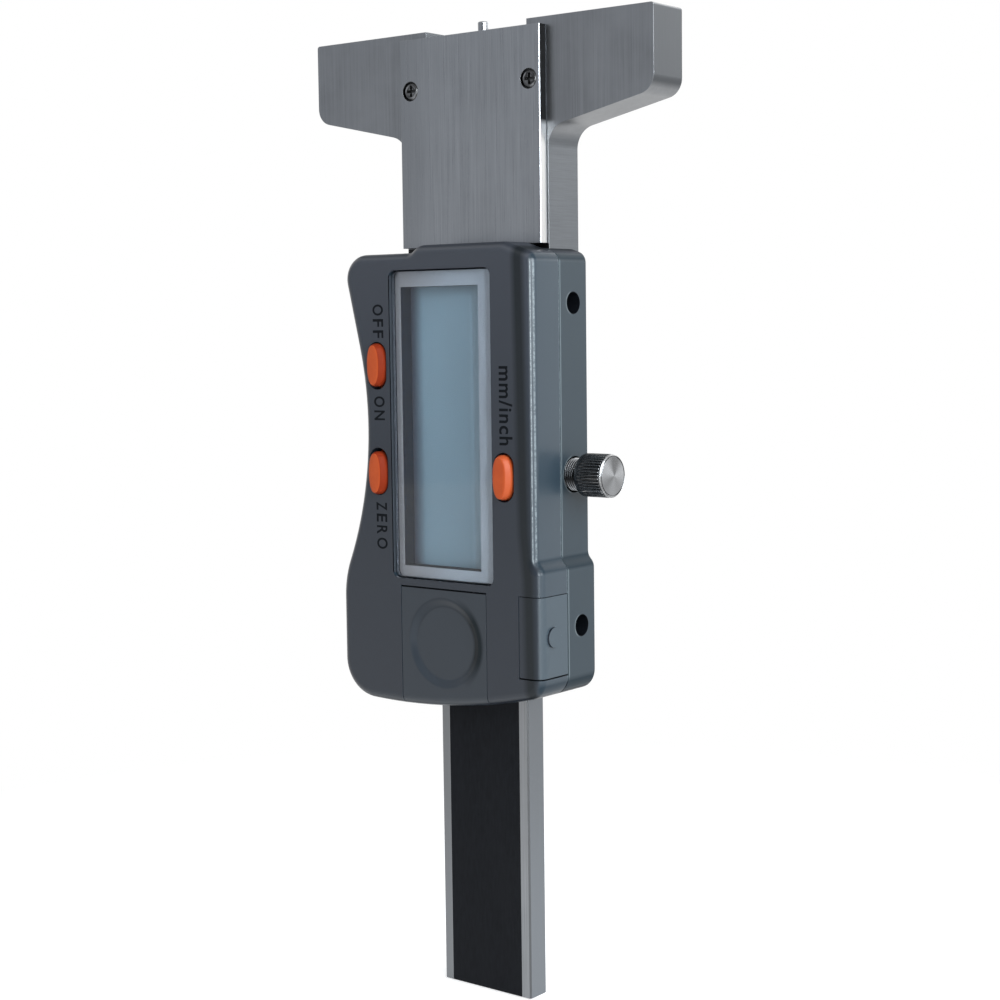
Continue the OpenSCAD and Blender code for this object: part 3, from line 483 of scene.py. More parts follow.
def cover_and_dish(net, shade, shine):
    """The battery cover is a touch paler, and its dish has painted shade at its top and a
    painted shadow inside its right rim.
    """
    cover = net.times(within_cover(net), net.span(net.place("Z"), COVER_TOP, COVER_TOP - 0.1))
    shade = net.mix(net.times(cover, 0.5), shade, (0.024, 0.033, 0.042))
    dx = net.place("X", DISH_X)
    dz = net.place("Z", DISH_Z)
    away = net.reach(dx, dz)
    turn = net.math("ARCTAN2", dz, dx)
    # painted shade on the dish's upper rim
    painted_upper_shade = net.times(net.near(away, DISH_RADIUS - 0.3, 0.8, 0.6), net.near(turn, 1.8, 1.3, 0.6))
    shade = net.mix(net.times(painted_upper_shade, 0.3), shade, (0.008, 0.011, 0.016))
    shine = net.dim(shine, painted_upper_shade, 0.3)
    # painted shadow: a dark crescent inside the dish's right rim
    painted_crescent_shadow = net.times(net.near(away, DISH_RADIUS, 1.2, 0.65),
                         net.near(turn, 0.13, 1.15, 0.45),
                         net.span(net.place("Y"), HOUSING_Y + 0.6, HOUSING_Y + 0.55))
    shade = net.mix(painted_crescent_shadow, shade, (0.0125, 0.0165, 0.0195))
    return shade, net.dim(shine, painted_crescent_shadow, 0.8)


def thin_lines(net, shade, shine):
    """Dark lines mark the battery cover's upper edge and the window's right edge."""
    top = net.times(net.near(net.place("Z"), COVER_TOP - 0.03, 0.14, 0.08), within_cover(net))
    beside = net.times(net.near(net.place("X"), WINDOW_RIGHT + 0.04, 0.14, 0.08),
                       net.near(net.place("Z"), WINDOW_MID_Z, WINDOW_HALF - 0.5, WINDOW_HALF - 0.9))
    front = net.span(net.place("Y"), HOUSING_Y + 0.35, HOUSING_Y + 0.3)
    thin = net.times(net.most(top, beside), front)
    return net.mix(thin, shade, (0.002, 0.0025, 0.003)), net.dim(shine, thin)


def window_walls(net, shade, shine, flecks):
    """The lower wall catches some light half way in, and the left wall lies in the dark."""
    sill_half = 9.3
    sill = net.times(flecks,
                     net.span(net.facing("Z"), 0.7, 0.9),
                     net.near(net.place("X"), DISH_X, sill_half + 0.1, sill_half - 0.1),
                     net.near(net.place("Y"), HOUSING_Y + 0.3, 0.14, 0.06),
                     net.near(net.place("Z"), WINDOW_LOW + 0.1, 2.0, 1.8))
    shade = net.mix(sill, shade, (0.3, 0.32, 0.35))
    wall = net.times(net.near(net.place("X"), WINDOW_LEFT, 0.1, 0.06),
                     net.span(net.axis("X"), 0.6, 0.85))
    depth = net.span(net.place("Y"), HOUSING_Y + 0.18, HOUSING_Y + 0.26)
    dark = net.mix(depth, (0.003, 0.003, 0.004), (0.045, 0.052, 0.062))
    return net.mix(wall, shade, dark), net.dim(shine, wall)


def front_housing():
    """The casing's front with the battery cover, and its painted highlights, painted shade and dark
    lines.
    """
    net, shade, shine = cased("front_housing", (0.025, 0.039, 0.052), 0.3)
    flecks = net.span(net.noise(net.at((1, 1, 1)), 2.6, 2.0, 0.7), 0.42, 0.58, 0.3, 1.0)
    shade = painted_edge_highlight(net, shade, flecks)
    shade = parting_line(net, shade)
    shade, shine = cover_and_dish(net, shade, shine)
    shade, shine = thin_lines(net, shade, shine)
    shade, shine = window_walls(net, shade, shine, flecks)
    net.paint(shade, shine)


def rear_housing():
    """The access holes get painted shade inside and a painted highlight on one side of the rim."""
    net, shade, shine = cased("rear_housing", (0.0165, 0.028, 0.037), 0.42)
    across = net.place("Y", BEAM_MID_Y)
    away = [net.reach(across, net.place("Z", z)) for z, radius in HOLES]
    # painted shade inside the holes, and a painted highlight on one side of their rims
    painted_hole_shade = net.most(*[net.span(a, radius + 0.06, radius + 0.02)
                      for a, (z, radius) in zip(away, HOLES)])
    painted_rim_highlight = net.most(*[net.near(a, radius + 0.13, 0.13, 0.06)
                     for a, (z, radius) in zip(away, HOLES)])
    painted_rim_highlight = net.times(painted_rim_highlight, net.span(across, -0.4, -1.2))
    shade = net.mix(painted_rim_highlight, shade, (0.085, 0.105, 0.115))
    # a painted highlight runs down beside the parting edge as far as the corner
    line = net.times(net.span(net.place("Y"), SEAM_Y + 0.4, SEAM_Y + 0.26),
                     net.span(net.axis("Z"), 0.3, 0.1),
                     net.span(net.place("Z"), CORNER_Z - 0.5, CORNER_Z + 0.5))
    shade = net.mix(line, shade, (0.085, 0.108, 0.12))
    shade = net.mix(painted_hole_shade, shade, (0.005, 0.006, 0.008))
    net.paint(shade, net.dim(net.times(shine, 0.78), painted_hole_shade, 0.9))


def port_plastic():
    """The port cover's left and lower edges lie in a dark gap."""
    net, shade, shine = cased("port_plastic", (0.037, 0.054, 0.068), 0.34)
    gap = net.most(net.span(net.place("X", PORT_LEFT), 0.26, 0.18),
                   net.span(net.place("Z", PORT_LOW), 0.14, 0.08))
    net.paint(net.mix(gap, shade, (0.003, 0.0035, 0.004)), net.dim(shine, gap))


# The display and its window

def lens():
    """Clear acrylic, which lets the lamps reach what lies behind it."""
    net = Net("lens", (0.93, 0.96, 0.98), 0.03)
    net.set("Transmission Weight", 1.0)
    net.set("IOR", 1.35)
    dust = net.noise(net.at((0.6, 0.6, 0.6)), 1.0, 4.0, 0.7)
    net.set("Roughness", net.span(dust, 0.3, 0.75, 0.015, 0.06))
    clear = net.shader("ShaderNodeBsdfTransparent", Color=(0.92, 0.95, 0.96, 1.0))
    shadow = net.add("ShaderNodeLightPath").outputs["Is Shadow Ray"]
    net.show(net.blend(shadow, net.bsdf.outputs[0], clear))


def silver_print():
    """The silver border is darker and warmer on its left side."""
    net = Net("silver_print", rough=0.4, metal=0.35)
    flake = net.noise(net.at((1, 1, 1)), 5.0, 2.0, 0.6)
    fade_right, fade_left = 0.0, -8.0
    left = net.span(net.place("X"), fade_right, fade_left)
    shade = net.mix(left, (0.268, 0.296, 0.336), (0.195, 0.188, 0.2))
    net.set("Base Color", net.mix(net.span(flake, 0.3, 0.7, 0.0, 0.15), shade, grey(0.1)))
    net.set("Roughness", net.span(flake, 0.3, 0.7, 0.34, 0.48))
    net.bump(flake, 0.004, 0.4)


def display():
    """Blue grey glass, with painted light that makes it paler on the right and above."""
    net = Net("display", rough=0.35)
    weave = net.noise(net.at((0.8, 0.8, 0.05)), 1.0, 2.0, 0.5)
    haze = net.noise(net.at((0.06, 0.06, 0.06)), 1.0, 2.0, 0.5)
    shade = net.mix(net.span(haze, 0.3, 0.7), (0.108, 0.166, 0.207), (0.12, 0.183, 0.227))
    shade = net.mix(net.span(weave, 0.35, 0.65, 0.0, 0.2), shade, (0.13, 0.2, 0.25))
    # painted light: paler on the right and above
    pale_x, pale_low, pale_top = 1.6, -58.0, -40.0
    right = net.span(net.place("X"), pale_x, pale_x + 1.4, 0.0, 0.8)
    shade = net.mix(right, shade, (0.19, 0.27, 0.325))
    painted_light_above = net.span(net.place("Z"), pale_low, pale_top, 0.0, 0.3)
    shade = net.mix(painted_light_above, shade, (0.165, 0.24, 0.29))
    # painted shadow: the glass darkens softly towards the left and upper edges
    left = net.span(net.place("X", end_of("lcd_panel", 0, "x")), 2.53, 0.63)
    top = net.span(net.place("Z", end_of("lcd_panel", 1, "z")), -1.45, -0.25, 0.0, 0.12)
    net.set("Base Color", net.mix(net.most(left, top), shade, (0.035, 0.042, 0.06)))
    net.set("Roughness", net.span(weave, 0.3, 0.7, 0.3, 0.42))
    net.bump(weave, 0.0006, 0.2)


# Keys and words

def orange_plastic():
    """Painted shade: the left keys' slanted facets are darker and redder than their flat crowns."""
    net = Net("orange_plastic", rough=0.4)
    swirl = net.noise(net.at((0.5, 0.5, 0.5)), 1.0, 3.0, 0.6)
    grain = net.noise(net.at((1, 1, 1)), 5.0, 2.0, 0.6)
    shade = net.mix(net.span(swirl, 0.3, 0.7), (0.42, 0.061, 0.011), (0.47, 0.074, 0.014))
    facet = net.span(net.axis("Y"), 0.96, 0.85)
    right_keys = net.span(net.place("X"), -1.0, 1.0)
    # painted shade on the left keys' slanted facets
    facet_painted_shade = net.mix(right_keys, (0.21, 0.024, 0.007), (0.42, 0.072, 0.019))
    dull = net.dim(facet, right_keys)
    net.paint(net.mix(facet, shade, facet_painted_shade), net.math("MULTIPLY_ADD", dull, -0.2, 0.25))
    net.set("Roughness", net.span(grain, 0.3, 0.7, 0.36, 0.48))
    net.set("Subsurface Weight", 0.06)
    net.set("Subsurface Radius", (0.0006, 0.0002, 0.0001))
    net.bump(grain, 0.006, 0.4)


def ink():
    net = Net("ink", rough=0.55)
    grain = net.noise(net.at((1, 1, 1)), 5.0, 2.0, 0.6)
    shade = net.mix(net.span(grain, 0.3, 0.7), (0.003, 0.0038, 0.0055), (0.006, 0.0075, 0.0095))
    net.paint(shade, 0.06)
    net.bump(grain, 0.008, 0.5)


def make_materials():
    for make in (base_steel, plate_steel, dark_screw, brass, beam_steel, scale_foil, knob_steel,
                 front_housing, rear_housing, port_plastic, lens, silver_print, display,
                 orange_plastic, ink):
        make()
    ground_steel("needle_steel", 0.3, 0.3, "Z", 1.3)
    ground_steel("switch_metal", 0.6, 0.25, "X", 1.2)
    ground_steel("cell_metal", 0.62, 0.2, "X", 1.0, (1.0, 1.0, 0.98))
    ground_steel("spring_metal", 0.55, 0.24, "Z", 1.2, (1.0, 0.97, 0.88))
    ground_steel("gold", 0.75, 0.22, "X", 1.2, (1.0, 0.74, 0.30))
    moulded("black_plastic", (0.012, 0.012, 0.013), 0.45, 0.7)
    moulded("chip", (0.01, 0.01, 0.011), 0.55, 0.6)
    moulded("zebra", (0.62, 0.36, 0.40), 0.7, 0.4, 0.12)
    moulded("board", (0.01, 0.11, 0.045), 0.3, 0.3, 0.2)
    moulded("tunnel_plastic", (0.0015, 0.004, 0.009), 0.6, 0.5).set("Specular IOR Level", 0.05)
    moulded("lens_edge", (0.045, 0.05, 0.06), 0.5, 0.3).set("Specular IOR Level", 0.1)


# Meshes

# Distances in metres, under which points or levels count as the same
SAME_PLACE = 2e-7
SAME_LEVEL = 2e-6
FLAT_ANGLE = math.radians(0.4)
SHARP_ANGLE = math.radians(35)


def finish_mesh(bm, name, material, body, nodes=(), smooth=32):
    """Makes the mesh a piece on its body, which stands for CAD nodes where some are given.

    Edges of up to smooth degrees are shaded round.
    """
    bmesh.ops.recalc_face_normals(bm, faces=bm.faces)
    mesh = bpy.data.meshes.new(name)
    bm.to_mesh(mesh)
    bm.free()
    for poly in mesh.polygons:
        poly.use_smooth = True
    mesh.set_sharp_from_angle(angle=math.radians(smooth))
    obj = bpy.data.objects.new(name, mesh)
    bpy.context.scene.collection.objects.link(obj)
    mesh.materials.append(material)
    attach(obj, body)
    if nodes:
        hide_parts(*nodes)
    return obj


def dress(node, bevel, segments=2, edit=None):
    """A copy of a CAD node with its edges rounded, which stands for the node."""
    bm = bmesh.new()
    bm.from_mesh(frame["nodes"][node].data)
    bmesh.ops.remove_doubles(bm, verts=bm.verts, dist=SAME_PLACE)
    bmesh.ops.dissolve_limit(bm, angle_limit=FLAT_ANGLE, verts=bm.verts, edges=bm.edges)
    if edit:
        edit(bm)
    slot = NODE_SLOT[node]
    obj = finish_mesh(bm, node + "_skin", MATERIALS[slot], NODE_BODY[node], [node])
    if bevel:
        mod = obj.modifiers.new("edge", "BEVEL")
        mod.width = bevel * MM
        mod.segments = segments
        mod.limit_method = "ANGLE"
        mod.angle_limit = SHARP_ANGLE
        mod.use_clamp_overlap = True
        mod.miter_outer = "MITER_ARC"
    mod = obj.modifiers.new("normals", "WEIGHTED_NORMAL")
    mod.keep_sharp = True
    return obj


def loft(bm, rings):
    """Skins rings of points, all of one length, and closes the ends."""
    made = [[bm.verts.new([c * MM for c in p]) for p in ring] for ring in rings]
    for a, b in zip(made, made[1:]):
        for k in range(len(a)):
            j = (k + 1) % len(a)
            bm.faces.new((a[k], a[j], b[j], b[k]))
    bm.faces.new(made[0])
    bm.faces.new(made[-1])


def circle(count):
    """The cosine and sine of evenly spaced angles."""
    angles = [2 * math.pi * k / count for k in range(count)]
    return [(math.cos(a), math.sin(a)) for a in angles]


def eased(y0, y1, bevel):
    """Stations from end to end, each with its inset, for a form with bevelled ends."""
    return (y0, bevel), (y0 + bevel, 0), (y1 - bevel, 0), (y1, bevel)


def block(bm, x0, x1, y0, y1, z0, z1, bevel=0.06):
    """A block with small bevels on all its edges, in millimetres."""
    rings = []
    for y, inset in eased(y0, y1, bevel):
        a, b, c, d = x0 + inset, x1 - inset, z0 + inset, z1 - inset
        rings.append([(a + bevel, y, c), (b - bevel, y, c), (b, y, c + bevel), (b, y, d - bevel),
                      (b - bevel, y, d), (a + bevel, y, d), (a, y, d - bevel), (a, y, c + bevel)])
    loft(bm, rings)


def rod(bm, x, z, y0, y1, radius, bevel=0.08):
    """A rod along Y with bevelled ends, in millimetres."""
    rings = []
    for y, inset in eased(y0, y1, bevel):
        rings.append([(x + (radius - inset) * c, y, z + (radius - inset) * s)
                      for c, s in circle(32)])
    loft(bm, rings)


# Keys

# Middle of each key's cap on X and Z, in millimetres
KEY_PLACES = {"button_off_on": (-12.55, -47.1), "button_zero": (-12.55, -62.5),
              "button_mm_inch": (10.1, -62.3)}
KEY_WIDTH = 3.2
KEY_LENGTH = 6.15
KEY_FRONT = end_of("button_zero", 0, "y")
KEY_BACK = end_of("button_zero", 1, "y")

# Each ring of the cap, as its distance behind the key's front and its inset: an upright
# wall, a slanted facet, and a low crown
KEY_RINGS = ((2.93, 0.04), (2.89, 0.0), (0.81, 0.0), (0.75, 0.01), (0.69, 0.04), (0.17, 0.42),
             (0.1, 0.49), (0.06, 0.56), (0.035, 0.66), (0.015, 0.9), (0.005, 1.2), (0.002, 1.52))

# The flange that holds a key inside the casing, and the post that works its switch
FLANGE_OUTWARD = 0.75
FLANGE_INWARD = 1.8
FLANGE_HALF = 3.7
FLANGE_FRONT = KEY_FRONT + 2.55
FLANGE_BACK = KEY_FRONT + 3.05
POST_FRONT = KEY_FRONT + 2.8
POST_SHIFT = 1.3
POST_RADIUS = 0.5


def key_ring(x, y, z, inset, power=2.3):
    """Points of a key's pointed oval, long along Z, in millimetres."""
    end_inset = 0.4 * inset
    points = []
    for c, s in circle(72):
        across = math.copysign(abs(c) ** (2 / power), c)
        along = math.copysign(abs(s) ** (2 / power), s)
        points.append((x + (KEY_WIDTH / 2 - inset) * across, y,
                       z + (KEY_LENGTH / 2 - end_inset) * along))
    return points


def make_keys():
    """Oval caps, each in one piece with its flange and its post."""
    for node, (x, z) in KEY_PLACES.items():
        bm = bmesh.new()
        loft(bm, [key_ring(x, KEY_FRONT + depth, z, inset) for depth, inset in KEY_RINGS])
        on_left = x < 0
        inward = 1 if on_left else -1
        left, right = sorted((x - inward * FLANGE_OUTWARD, x + inward * FLANGE_INWARD))
        block(bm, left, right, FLANGE_FRONT, FLANGE_BACK, z - FLANGE_HALF, z + FLANGE_HALF)
        post_x = x + POST_SHIFT if on_left else x
        rod(bm, post_x, z, POST_FRONT, KEY_BACK, POST_RADIUS)
        finish_mesh(bm, node + "_cap", MATERIALS["orange_plastic"], NODE_BODY[node],
                    [node], 50)


# Lock screw and needle

# The thread in the base, and the finer one of the neck before the head
SCREW_TIP = end_of("lock_knob", 0, "x")
THREAD_START = 10.75
THREAD_STOP = 13.0
THREAD_RADIUS = 1.5
THREAD_DEPTH = 0.22
THREAD_PITCH = 0.5
NECK_START = 13.25
NECK_STOP = KNOB_X - 0.2
NECK_RADIUS = 2.3
NECK_DEPTH = 0.16

POINTS_AROUND = 480
KNURL_RIDGES = 40

# Steps of the head from its inner end: distance, radius and depth of the knurl
HEAD_INNER_RINGS = (
    (-0.15, 2.1, 0), (0, 2.1, 0), (0, 2.5, 0), (0.04, 2.62, 0), (0.34, 2.94, 0),
    (0.42, 2.985, 0), (0.5, 3.0, 0), (0.9, 3.0, 0), (1.1, 3.0, 0.04), (1.7, 3.0, 0.22),
)

# The same, counted back from its outer end: a stepped rim, and a bead round the face
HEAD_OUTER_RINGS = (
    (0.86, 3.0, 0.24), (0.72, 3.0, 0.12), (0.62, 2.9, 0), (0.56, 2.9, 0), (0.53, 2.96, 0),
    (0.5, 2.985, 0), (0.38, 2.985, 0), (0.22, 2.83, 0), (0.21, 2.8, 0), (0.23, 2.77, 0),
    (0.36, 2.74, 0), (0.37, 2.68, 0), (0.24, 2.65, 0), (0.22, 2.62, 0), (0.215, 2.56, 0),
    (0.15, 1.7, 0), (0.07, 0.8, 0), (0.03, 0.4, 0), (0.005, 0.16, 0), (0, 0.04, 0),
)


def knob_ring(x, radius, thread=0.0, pitch=THREAD_PITCH, knurl=0.0):
    """Points round the lock screw's axis, cut by a thread or by the knurl's ridges."""
    ridge_share, slope_share = 0.2, 0.6
    points = []
    for k, (c, s) in enumerate(circle(POINTS_AROUND)):
        share = k / POINTS_AROUND
        wave = ((x / pitch - share) % 1.0) * 2 - 1
        cut = thread * abs(wave)
        wave = abs(((share * KNURL_RIDGES) % 1.0) * 2 - 1)
        cut += knurl * min(1.0, max(0.0, (wave - ridge_share) / slope_share))
        points.append((x, BEAM_MID_Y + (radius - cut) * c, LOCK_Z + (radius - cut) * s))
    return points


def threaded(start, stop, step, radius, depth, pitch):
    """Rings of a thread from a start until a stop."""
    count = math.ceil(round((stop - start) / step, 6))
    return [knob_ring(start + k * step, radius, depth, pitch) for k in range(count)]


def make_knob():
    """Lock screw: threaded end, threaded neck, and a straight knurled head."""
    rings = [knob_ring(SCREW_TIP, 1.1)]
    rings += threaded(THREAD_START, THREAD_STOP, THREAD_PITCH / 4,
                      THREAD_RADIUS, THREAD_DEPTH, THREAD_PITCH)
    # a short collar parts the two threads
    rings += [knob_ring(THREAD_STOP + 0.05, THREAD_RADIUS - 0.05),
              knob_ring(THREAD_STOP + 0.1, THREAD_RADIUS),
              knob_ring(THREAD_STOP + 0.1, NECK_RADIUS - 0.15),
              knob_ring(THREAD_STOP + 0.2, NECK_RADIUS - 0.02)]
    rings += threaded(NECK_START, NECK_STOP, NECK_PITCH / 8, NECK_RADIUS, NECK_DEPTH, NECK_PITCH)
    rings += [knob_ring(KNOB_X + depth, radius, knurl=knurl)
              for depth, radius, knurl in HEAD_INNER_RINGS]
    rings += [knob_ring(KNOB_X + KNOB_LENGTH - depth, radius, knurl=knurl)
              for depth, radius, knurl in HEAD_OUTER_RINGS]
    bm = bmesh.new()
    loft(bm, rings)
    finish_mesh(bm, "lock_knob_turned", MATERIALS["knob_steel"], "lock_screw",
                ["lock_knob"], 28)


def make_needle():
    """A plain pin with a softly rounded tip."""
    low = end_of("needle", 0, "z")
    top = end_of("needle", 1, "z")
    beam_top = end_of("beam", 1, "z")
    radius = end_of("needle", 1, "x")
    bm = bmesh.new()
    rings = []
    for z, inset in ((low, 0.07), (low + 0.1, 0), (beam_top, 0), (top - 0.2, 0),
                     (top - 0.12, 0.01), (top - 0.02, 0.11), (top, 0.19), (top, 0.55)):
        rings.append([((radius - inset) * c, BEAM_MID_Y + (radius - inset) * s, z)
                      for c, s in circle(48)])
    loft(bm, rings)
    finish_mesh(bm, "needle_pin", MATERIALS["needle_steel"], "beam",
                ["needle"], 40)


# Printed words

# How wide each letter stands, and the gap after it, in millimetres
LETTERS = {"O": 1.55, "F": 1.08, "N": 1.4, "Z": 1.13, "E": 1.13, "R": 1.2, "mm/inch": 10.7}
LETTER_GAP = 0.5

# Name, letters, left and right edge on X, and start and end on Z of each word
WORDS = (("word_off", "OFF", -13.19, -11.22, -38.5, -43.25),
         ("word_on", "ON", -13.19, -11.2, -51.55, -54.95),
         ("word_zero", "ZERO", -13.09, -11.1, -66.7, -73.45),
         ("word_mm_inch", ("mm/inch",), 9.55, 11.85, -47.15, -57.9))
INK_HEIGHT = 0.006
INK_DEPTH = 0.02


def letter_mesh(text):
    """A thin mesh of plain letters, which is fitted to its place later."""
    curve = bpy.data.curves.new(text, "FONT")
    curve.body = text
    curve.size = 1.0
    curve.extrude = 0.004
    curve.offset = 0.018
    curve.space_character = 1.12
    source = bpy.data.objects.new("letter_source", curve)
    bpy.context.scene.collection.objects.link(source)
    bpy.context.view_layer.update()
    graph = bpy.context.evaluated_depsgraph_get()
    mesh = bpy.data.meshes.new_from_object(source.evaluated_get(graph))
    bpy.data.objects.remove(source)
    bpy.data.curves.remove(curve)
    return mesh


def shares(values):
    """Where each value lies between the lowest and the highest one."""
    low, high = min(values), max(values)
    return [(value - low) / (high - low) for value in values]


def make_words():
    """Plain ink words beside the keys, which read downwards."""
    for name, letters, x0, x1, z0, z1 in WORDS:
        total = sum(LETTERS[c] + LETTER_GAP for c in letters) - LETTER_GAP
        step = (z1 - z0) / total
        start = z0
        bm = bmesh.new()
        for letter in letters:
            mesh = letter_mesh(letter)
            along = shares([v.co.x for v in mesh.vertices])
            high = shares([v.co.y for v in mesh.vertices])
            for v, a, h in zip(mesh.vertices, along, high):
                depth = HOUSING_Y - INK_HEIGHT if v.co.z > 0 else HOUSING_Y + INK_DEPTH
                v.co = Vector((x0 + (x1 - x0) * h, depth, start + step * LETTERS[letter] * a)) * MM
            bm.from_mesh(mesh)
            bpy.data.meshes.remove(mesh)
            start += step * (LETTERS[letter] + LETTER_GAP)
        finish_mesh(bm, name, MATERIALS["ink"], "base")


# CAD nodes with small changes

def pull_lens(bm):
    """Leaves a film of air behind the window."""
    film = 0.02
    back = max(v.co.y for v in bm.verts)
    for v in bm.verts:
        if v.co.y > back - SAME_LEVEL:
            v.co.y -= film * MM


def trim_front(bm):
    """Brings the front shell's rear edge almost down to the rear shell."""
    for v in bm.verts:
        if abs(v.co.y - SEAM_Y * MM) < SAME_LEVEL:
            v.co.y += 0.9 * PARTING_GAP * MM


def trim_border(bm):
    """Leaves a dark strip between the print and the window's left edge."""
    strip = 0.2
    for v in bm.verts:
        if v.co.x / MM < WINDOW_LEFT + 0.5:
            v.co.x += strip * MM


def paint_lens_edge(lens):
    """The window's cut edge is dark, so that no light leaks round the print."""
    edge_index = 1
    lens.data.materials.append(MATERIALS["lens_edge"])
    lens.modifiers["edge"].material = edge_index
    for poly in lens.data.polygons:
        if abs(poly.normal.y) < 0.5:
            poly.material_index = edge_index


# Width of the bevel on each copy of a CAD node, in millimetres
BEVELS = {
    "base_block": 0.14, "front_plate": 0.07, "plate_screws": 0.05, "gib_strip": 0.05,
    "gib_screws": 0.05, "beam": 0.025, "scale_strip": 0.02, "lock_pad": 0.05,
    "rear_shell": 0.1, "front_shell": 0.08, "window_lens": 0.06, "lens_border": 0,
    "lcd_frame": 0.05, "lcd_panel": 0.03, "zebra_strips": 0.08, "circuit_board": 0.05,
    "board_chips": 0.08, "key_switches": 0.05, "battery": 0.1, "battery_holder": 0.08,
    "battery_contact_plus": 0.04, "battery_contact_minus": 0.04, "battery_cover": 0.08,
    "port_socket": 0.06, "port_contacts": 0.03, "port_cover": 0.08, "housing_screws": 0.06,
}
SEGMENTS = {"scale_strip": 1, "battery": 3}
EDITS = {"front_shell": trim_front, "window_lens": pull_lens, "lens_border": trim_border}


def make_pieces():
    for node, bevel in BEVELS.items():
        piece = dress(node, bevel, SEGMENTS.get(node, 2), EDITS.get(node))
        if node == "window_lens":
            paint_lens_edge(piece)
    make_keys()
    make_knob()
    make_needle()
    make_words()


# Stage, lights and camera, in metres

def make_world():
    """White to the camera, and a softer cool light for the object."""
    world = bpy.data.worlds.new("studio")
    bpy.context.scene.world = world
    tree = Tree(world, "ShaderNodeOutputWorld")
    soft = tree.shader("ShaderNodeBackground", Color=(0.94, 0.97, 1.0, 1.0), Strength=0.55)
    white = tree.shader("ShaderNodeBackground", Color=(1.0, 1.0, 1.0, 1.0), Strength=1.0)
    tree.show(tree.blend(tree.seen(), soft, white))


def stand(name, points, material):
    """A flat stage piece from its corner points."""
    bm = bmesh.new()
    bm.faces.new([bm.verts.new(p) for p in points])
    mesh = bpy.data.meshes.new(name)
    bm.to_mesh(mesh)
    bm.free()
    mesh.materials.append(material)
    obj = bpy.data.objects.new(name, mesh)
    bpy.context.scene.collection.objects.link(obj)
    return obj


def floor_material():
    """Pale, with a soft shadow close to the object, and pure white further out."""
    shadow_ends, white_starts = 0.05, 0.16
    mat = bpy.data.materials.new("floor_white")
    tree = Tree(mat)
    seen = tree.seen()
    paint = tree.shader("ShaderNodeBsdfDiffuse", Color=(0.6, 0.6, 0.6, 1.0))
    glow = tree.shader("ShaderNodeEmission", Strength=tree.math("MULTIPLY", seen, 0.62))
    near = tree.add("ShaderNodeAddShader")
    tree.link(paint, near.inputs[0])
    tree.link(glow, near.inputs[1])
    far = tree.blend(seen, paint, tree.shader("ShaderNodeEmission"))
    flat = tree.add("ShaderNodeVectorMath", operation="MULTIPLY")
    tree.link(tree.add("ShaderNodeTexCoord").outputs["Object"], flat.inputs[0])
    flat.inputs[1].default_value = (1.0, 1.0, 0.0)
    distance = tree.add("ShaderNodeVectorMath", operation="LENGTH")
    tree.link(flat.outputs[0], distance.inputs[0])
    fade = tree.span(distance.outputs["Value"], shadow_ends, white_starts)
    tree.show(tree.blend(fade, near.outputs[0], far))
    return mat


def make_card(name, heading, half_width, color):
    """An upright glowing card, seen only in reflections, whose middle lies at a heading."""
    distance, half_height, middle_z = 0.9, 0.75, -0.05
    mat = bpy.data.materials.new(name)
    tree = Tree(mat)
    tree.show(tree.shader("ShaderNodeEmission", Color=(*color, 1.0)))
    angle = math.radians(heading)
    away = Vector((math.cos(angle), math.sin(angle), 0.0))
    side = Vector((-away.y, away.x, 0.0))
    corners = [away * distance + side * a * half_width + Vector((0, 0, b * half_height + middle_z))
               for a, b in ((-1, -1), (1, -1), (1, 1), (-1, 1))]
    card = stand(name, corners, mat)
    card.visible_camera = False
    card.visible_diffuse = False
    card.visible_shadow = False


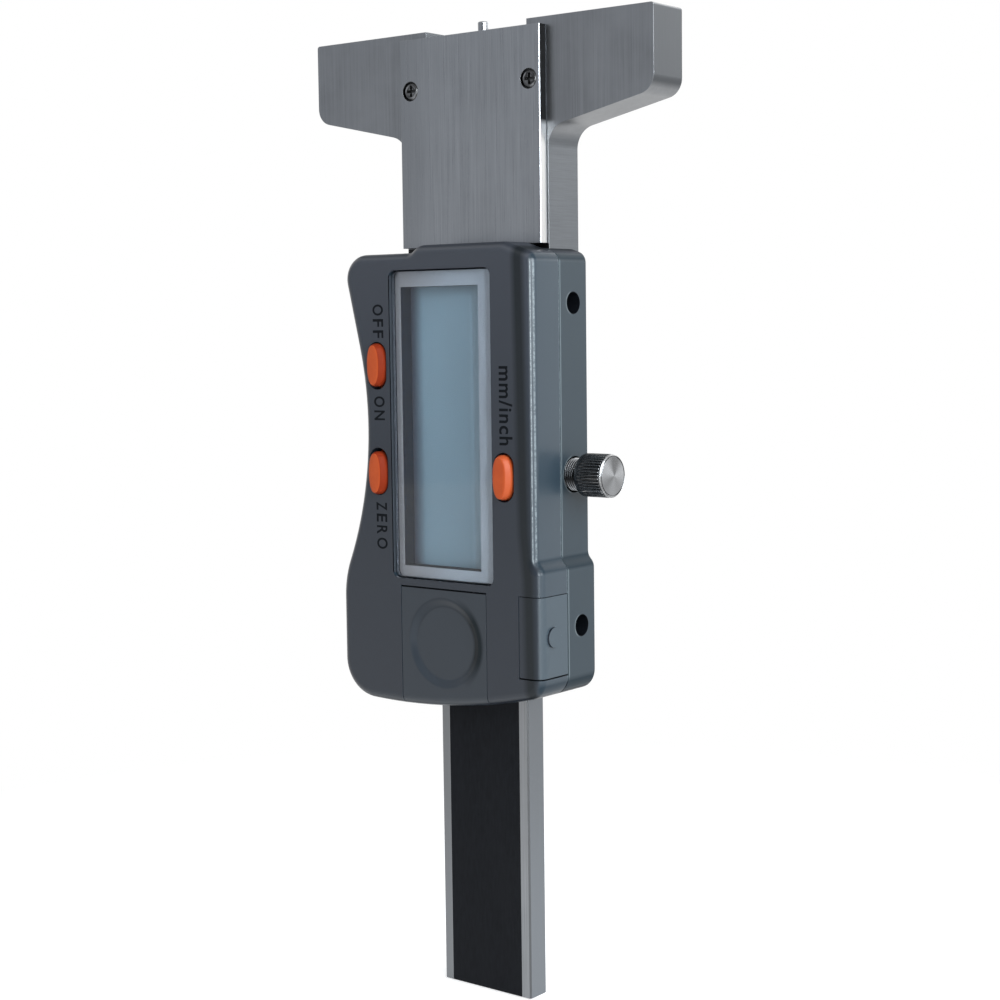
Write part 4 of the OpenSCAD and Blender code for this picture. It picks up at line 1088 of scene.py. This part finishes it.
def make_stage():
    """A pale floor just under the beam, and two cards that the metal and the lens mirror."""
    floor_gap, floor_radius = 0.0002, 3.0
    floor_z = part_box("beam")[0].z - floor_gap
    stand("floor", [(floor_radius * c, floor_radius * s, floor_z) for c, s in circle(64)],
          floor_material())
    # a wide grey card in front, and a dark one beside it
    make_card("card_grey", heading=231.7, half_width=0.85, color=(0.58, 0.61, 0.66))
    make_card("card_dark", heading=292.0, half_width=0.26, color=(0.06, 0.065, 0.075))


def lamp(name, place, size, power, color=(1, 1, 1)):
    """A rectangular lamp aimed at the middle of the object."""
    aim = Vector((0.0, 0.0, -0.065))
    light = bpy.data.lights.new(name, "AREA")
    light.shape = "RECTANGLE"
    light.size, light.size_y = size
    light.energy = power
    light.color = color
    obj = bpy.data.objects.new(name, light)
    bpy.context.scene.collection.objects.link(obj)
    obj.location = place
    obj.rotation_euler = (aim - Vector(place)).to_track_quat("-Z", "Y").to_euler()
    return obj


def make_lights():
    lamp("key", (0.66, -0.10, 0.24), (0.4, 0.5), 5.6, (0.94, 1.0, 1.05))
    lamp("strip", (0.62, -0.5, 0.02), (0.04, 0.7), 4.4, (0.93, 1.0, 1.05))
    fill = lamp("fill", (-0.35, -0.7, 0.15), (0.6, 0.6), 0.4, (0.95, 0.98, 1.0))
    fill.visible_glossy = False
    lamp("back", (0.15, 0.75, 0.3), (0.7, 0.5), 2.4)


def make_camera():
    """The photograph's viewing angle, solved from the object's own edges."""
    azimuth, elevation, roll = (math.radians(v) for v in (38.336, 5.282, -0.711))
    place = (0.170302, -0.216245, -0.041417)
    back = Vector((math.sin(azimuth) * math.cos(elevation),
                   -math.cos(azimuth) * math.cos(elevation), math.sin(elevation)))
    right = Vector((0, 0, 1)).cross(back).normalized()
    up = back.cross(right)
    c, s = math.cos(roll), math.sin(roll)
    right, up = c * right + s * up, -s * right + c * up
    data = bpy.data.cameras.new("camera")
    data.lens = 68.69
    data.sensor_width = 36.0
    data.clip_start = 0.01
    cam = bpy.data.objects.new("camera", data)
    bpy.context.scene.collection.objects.link(cam)
    turn = Matrix((right, up, back)).transposed().to_4x4()
    cam.matrix_world = Matrix.Translation(place) @ turn
    bpy.context.scene.camera = cam


make_materials()
make_pieces()
make_world()
make_stage()
make_lights()
make_camera()
bpy.context.scene.view_settings.view_transform = "Standard"
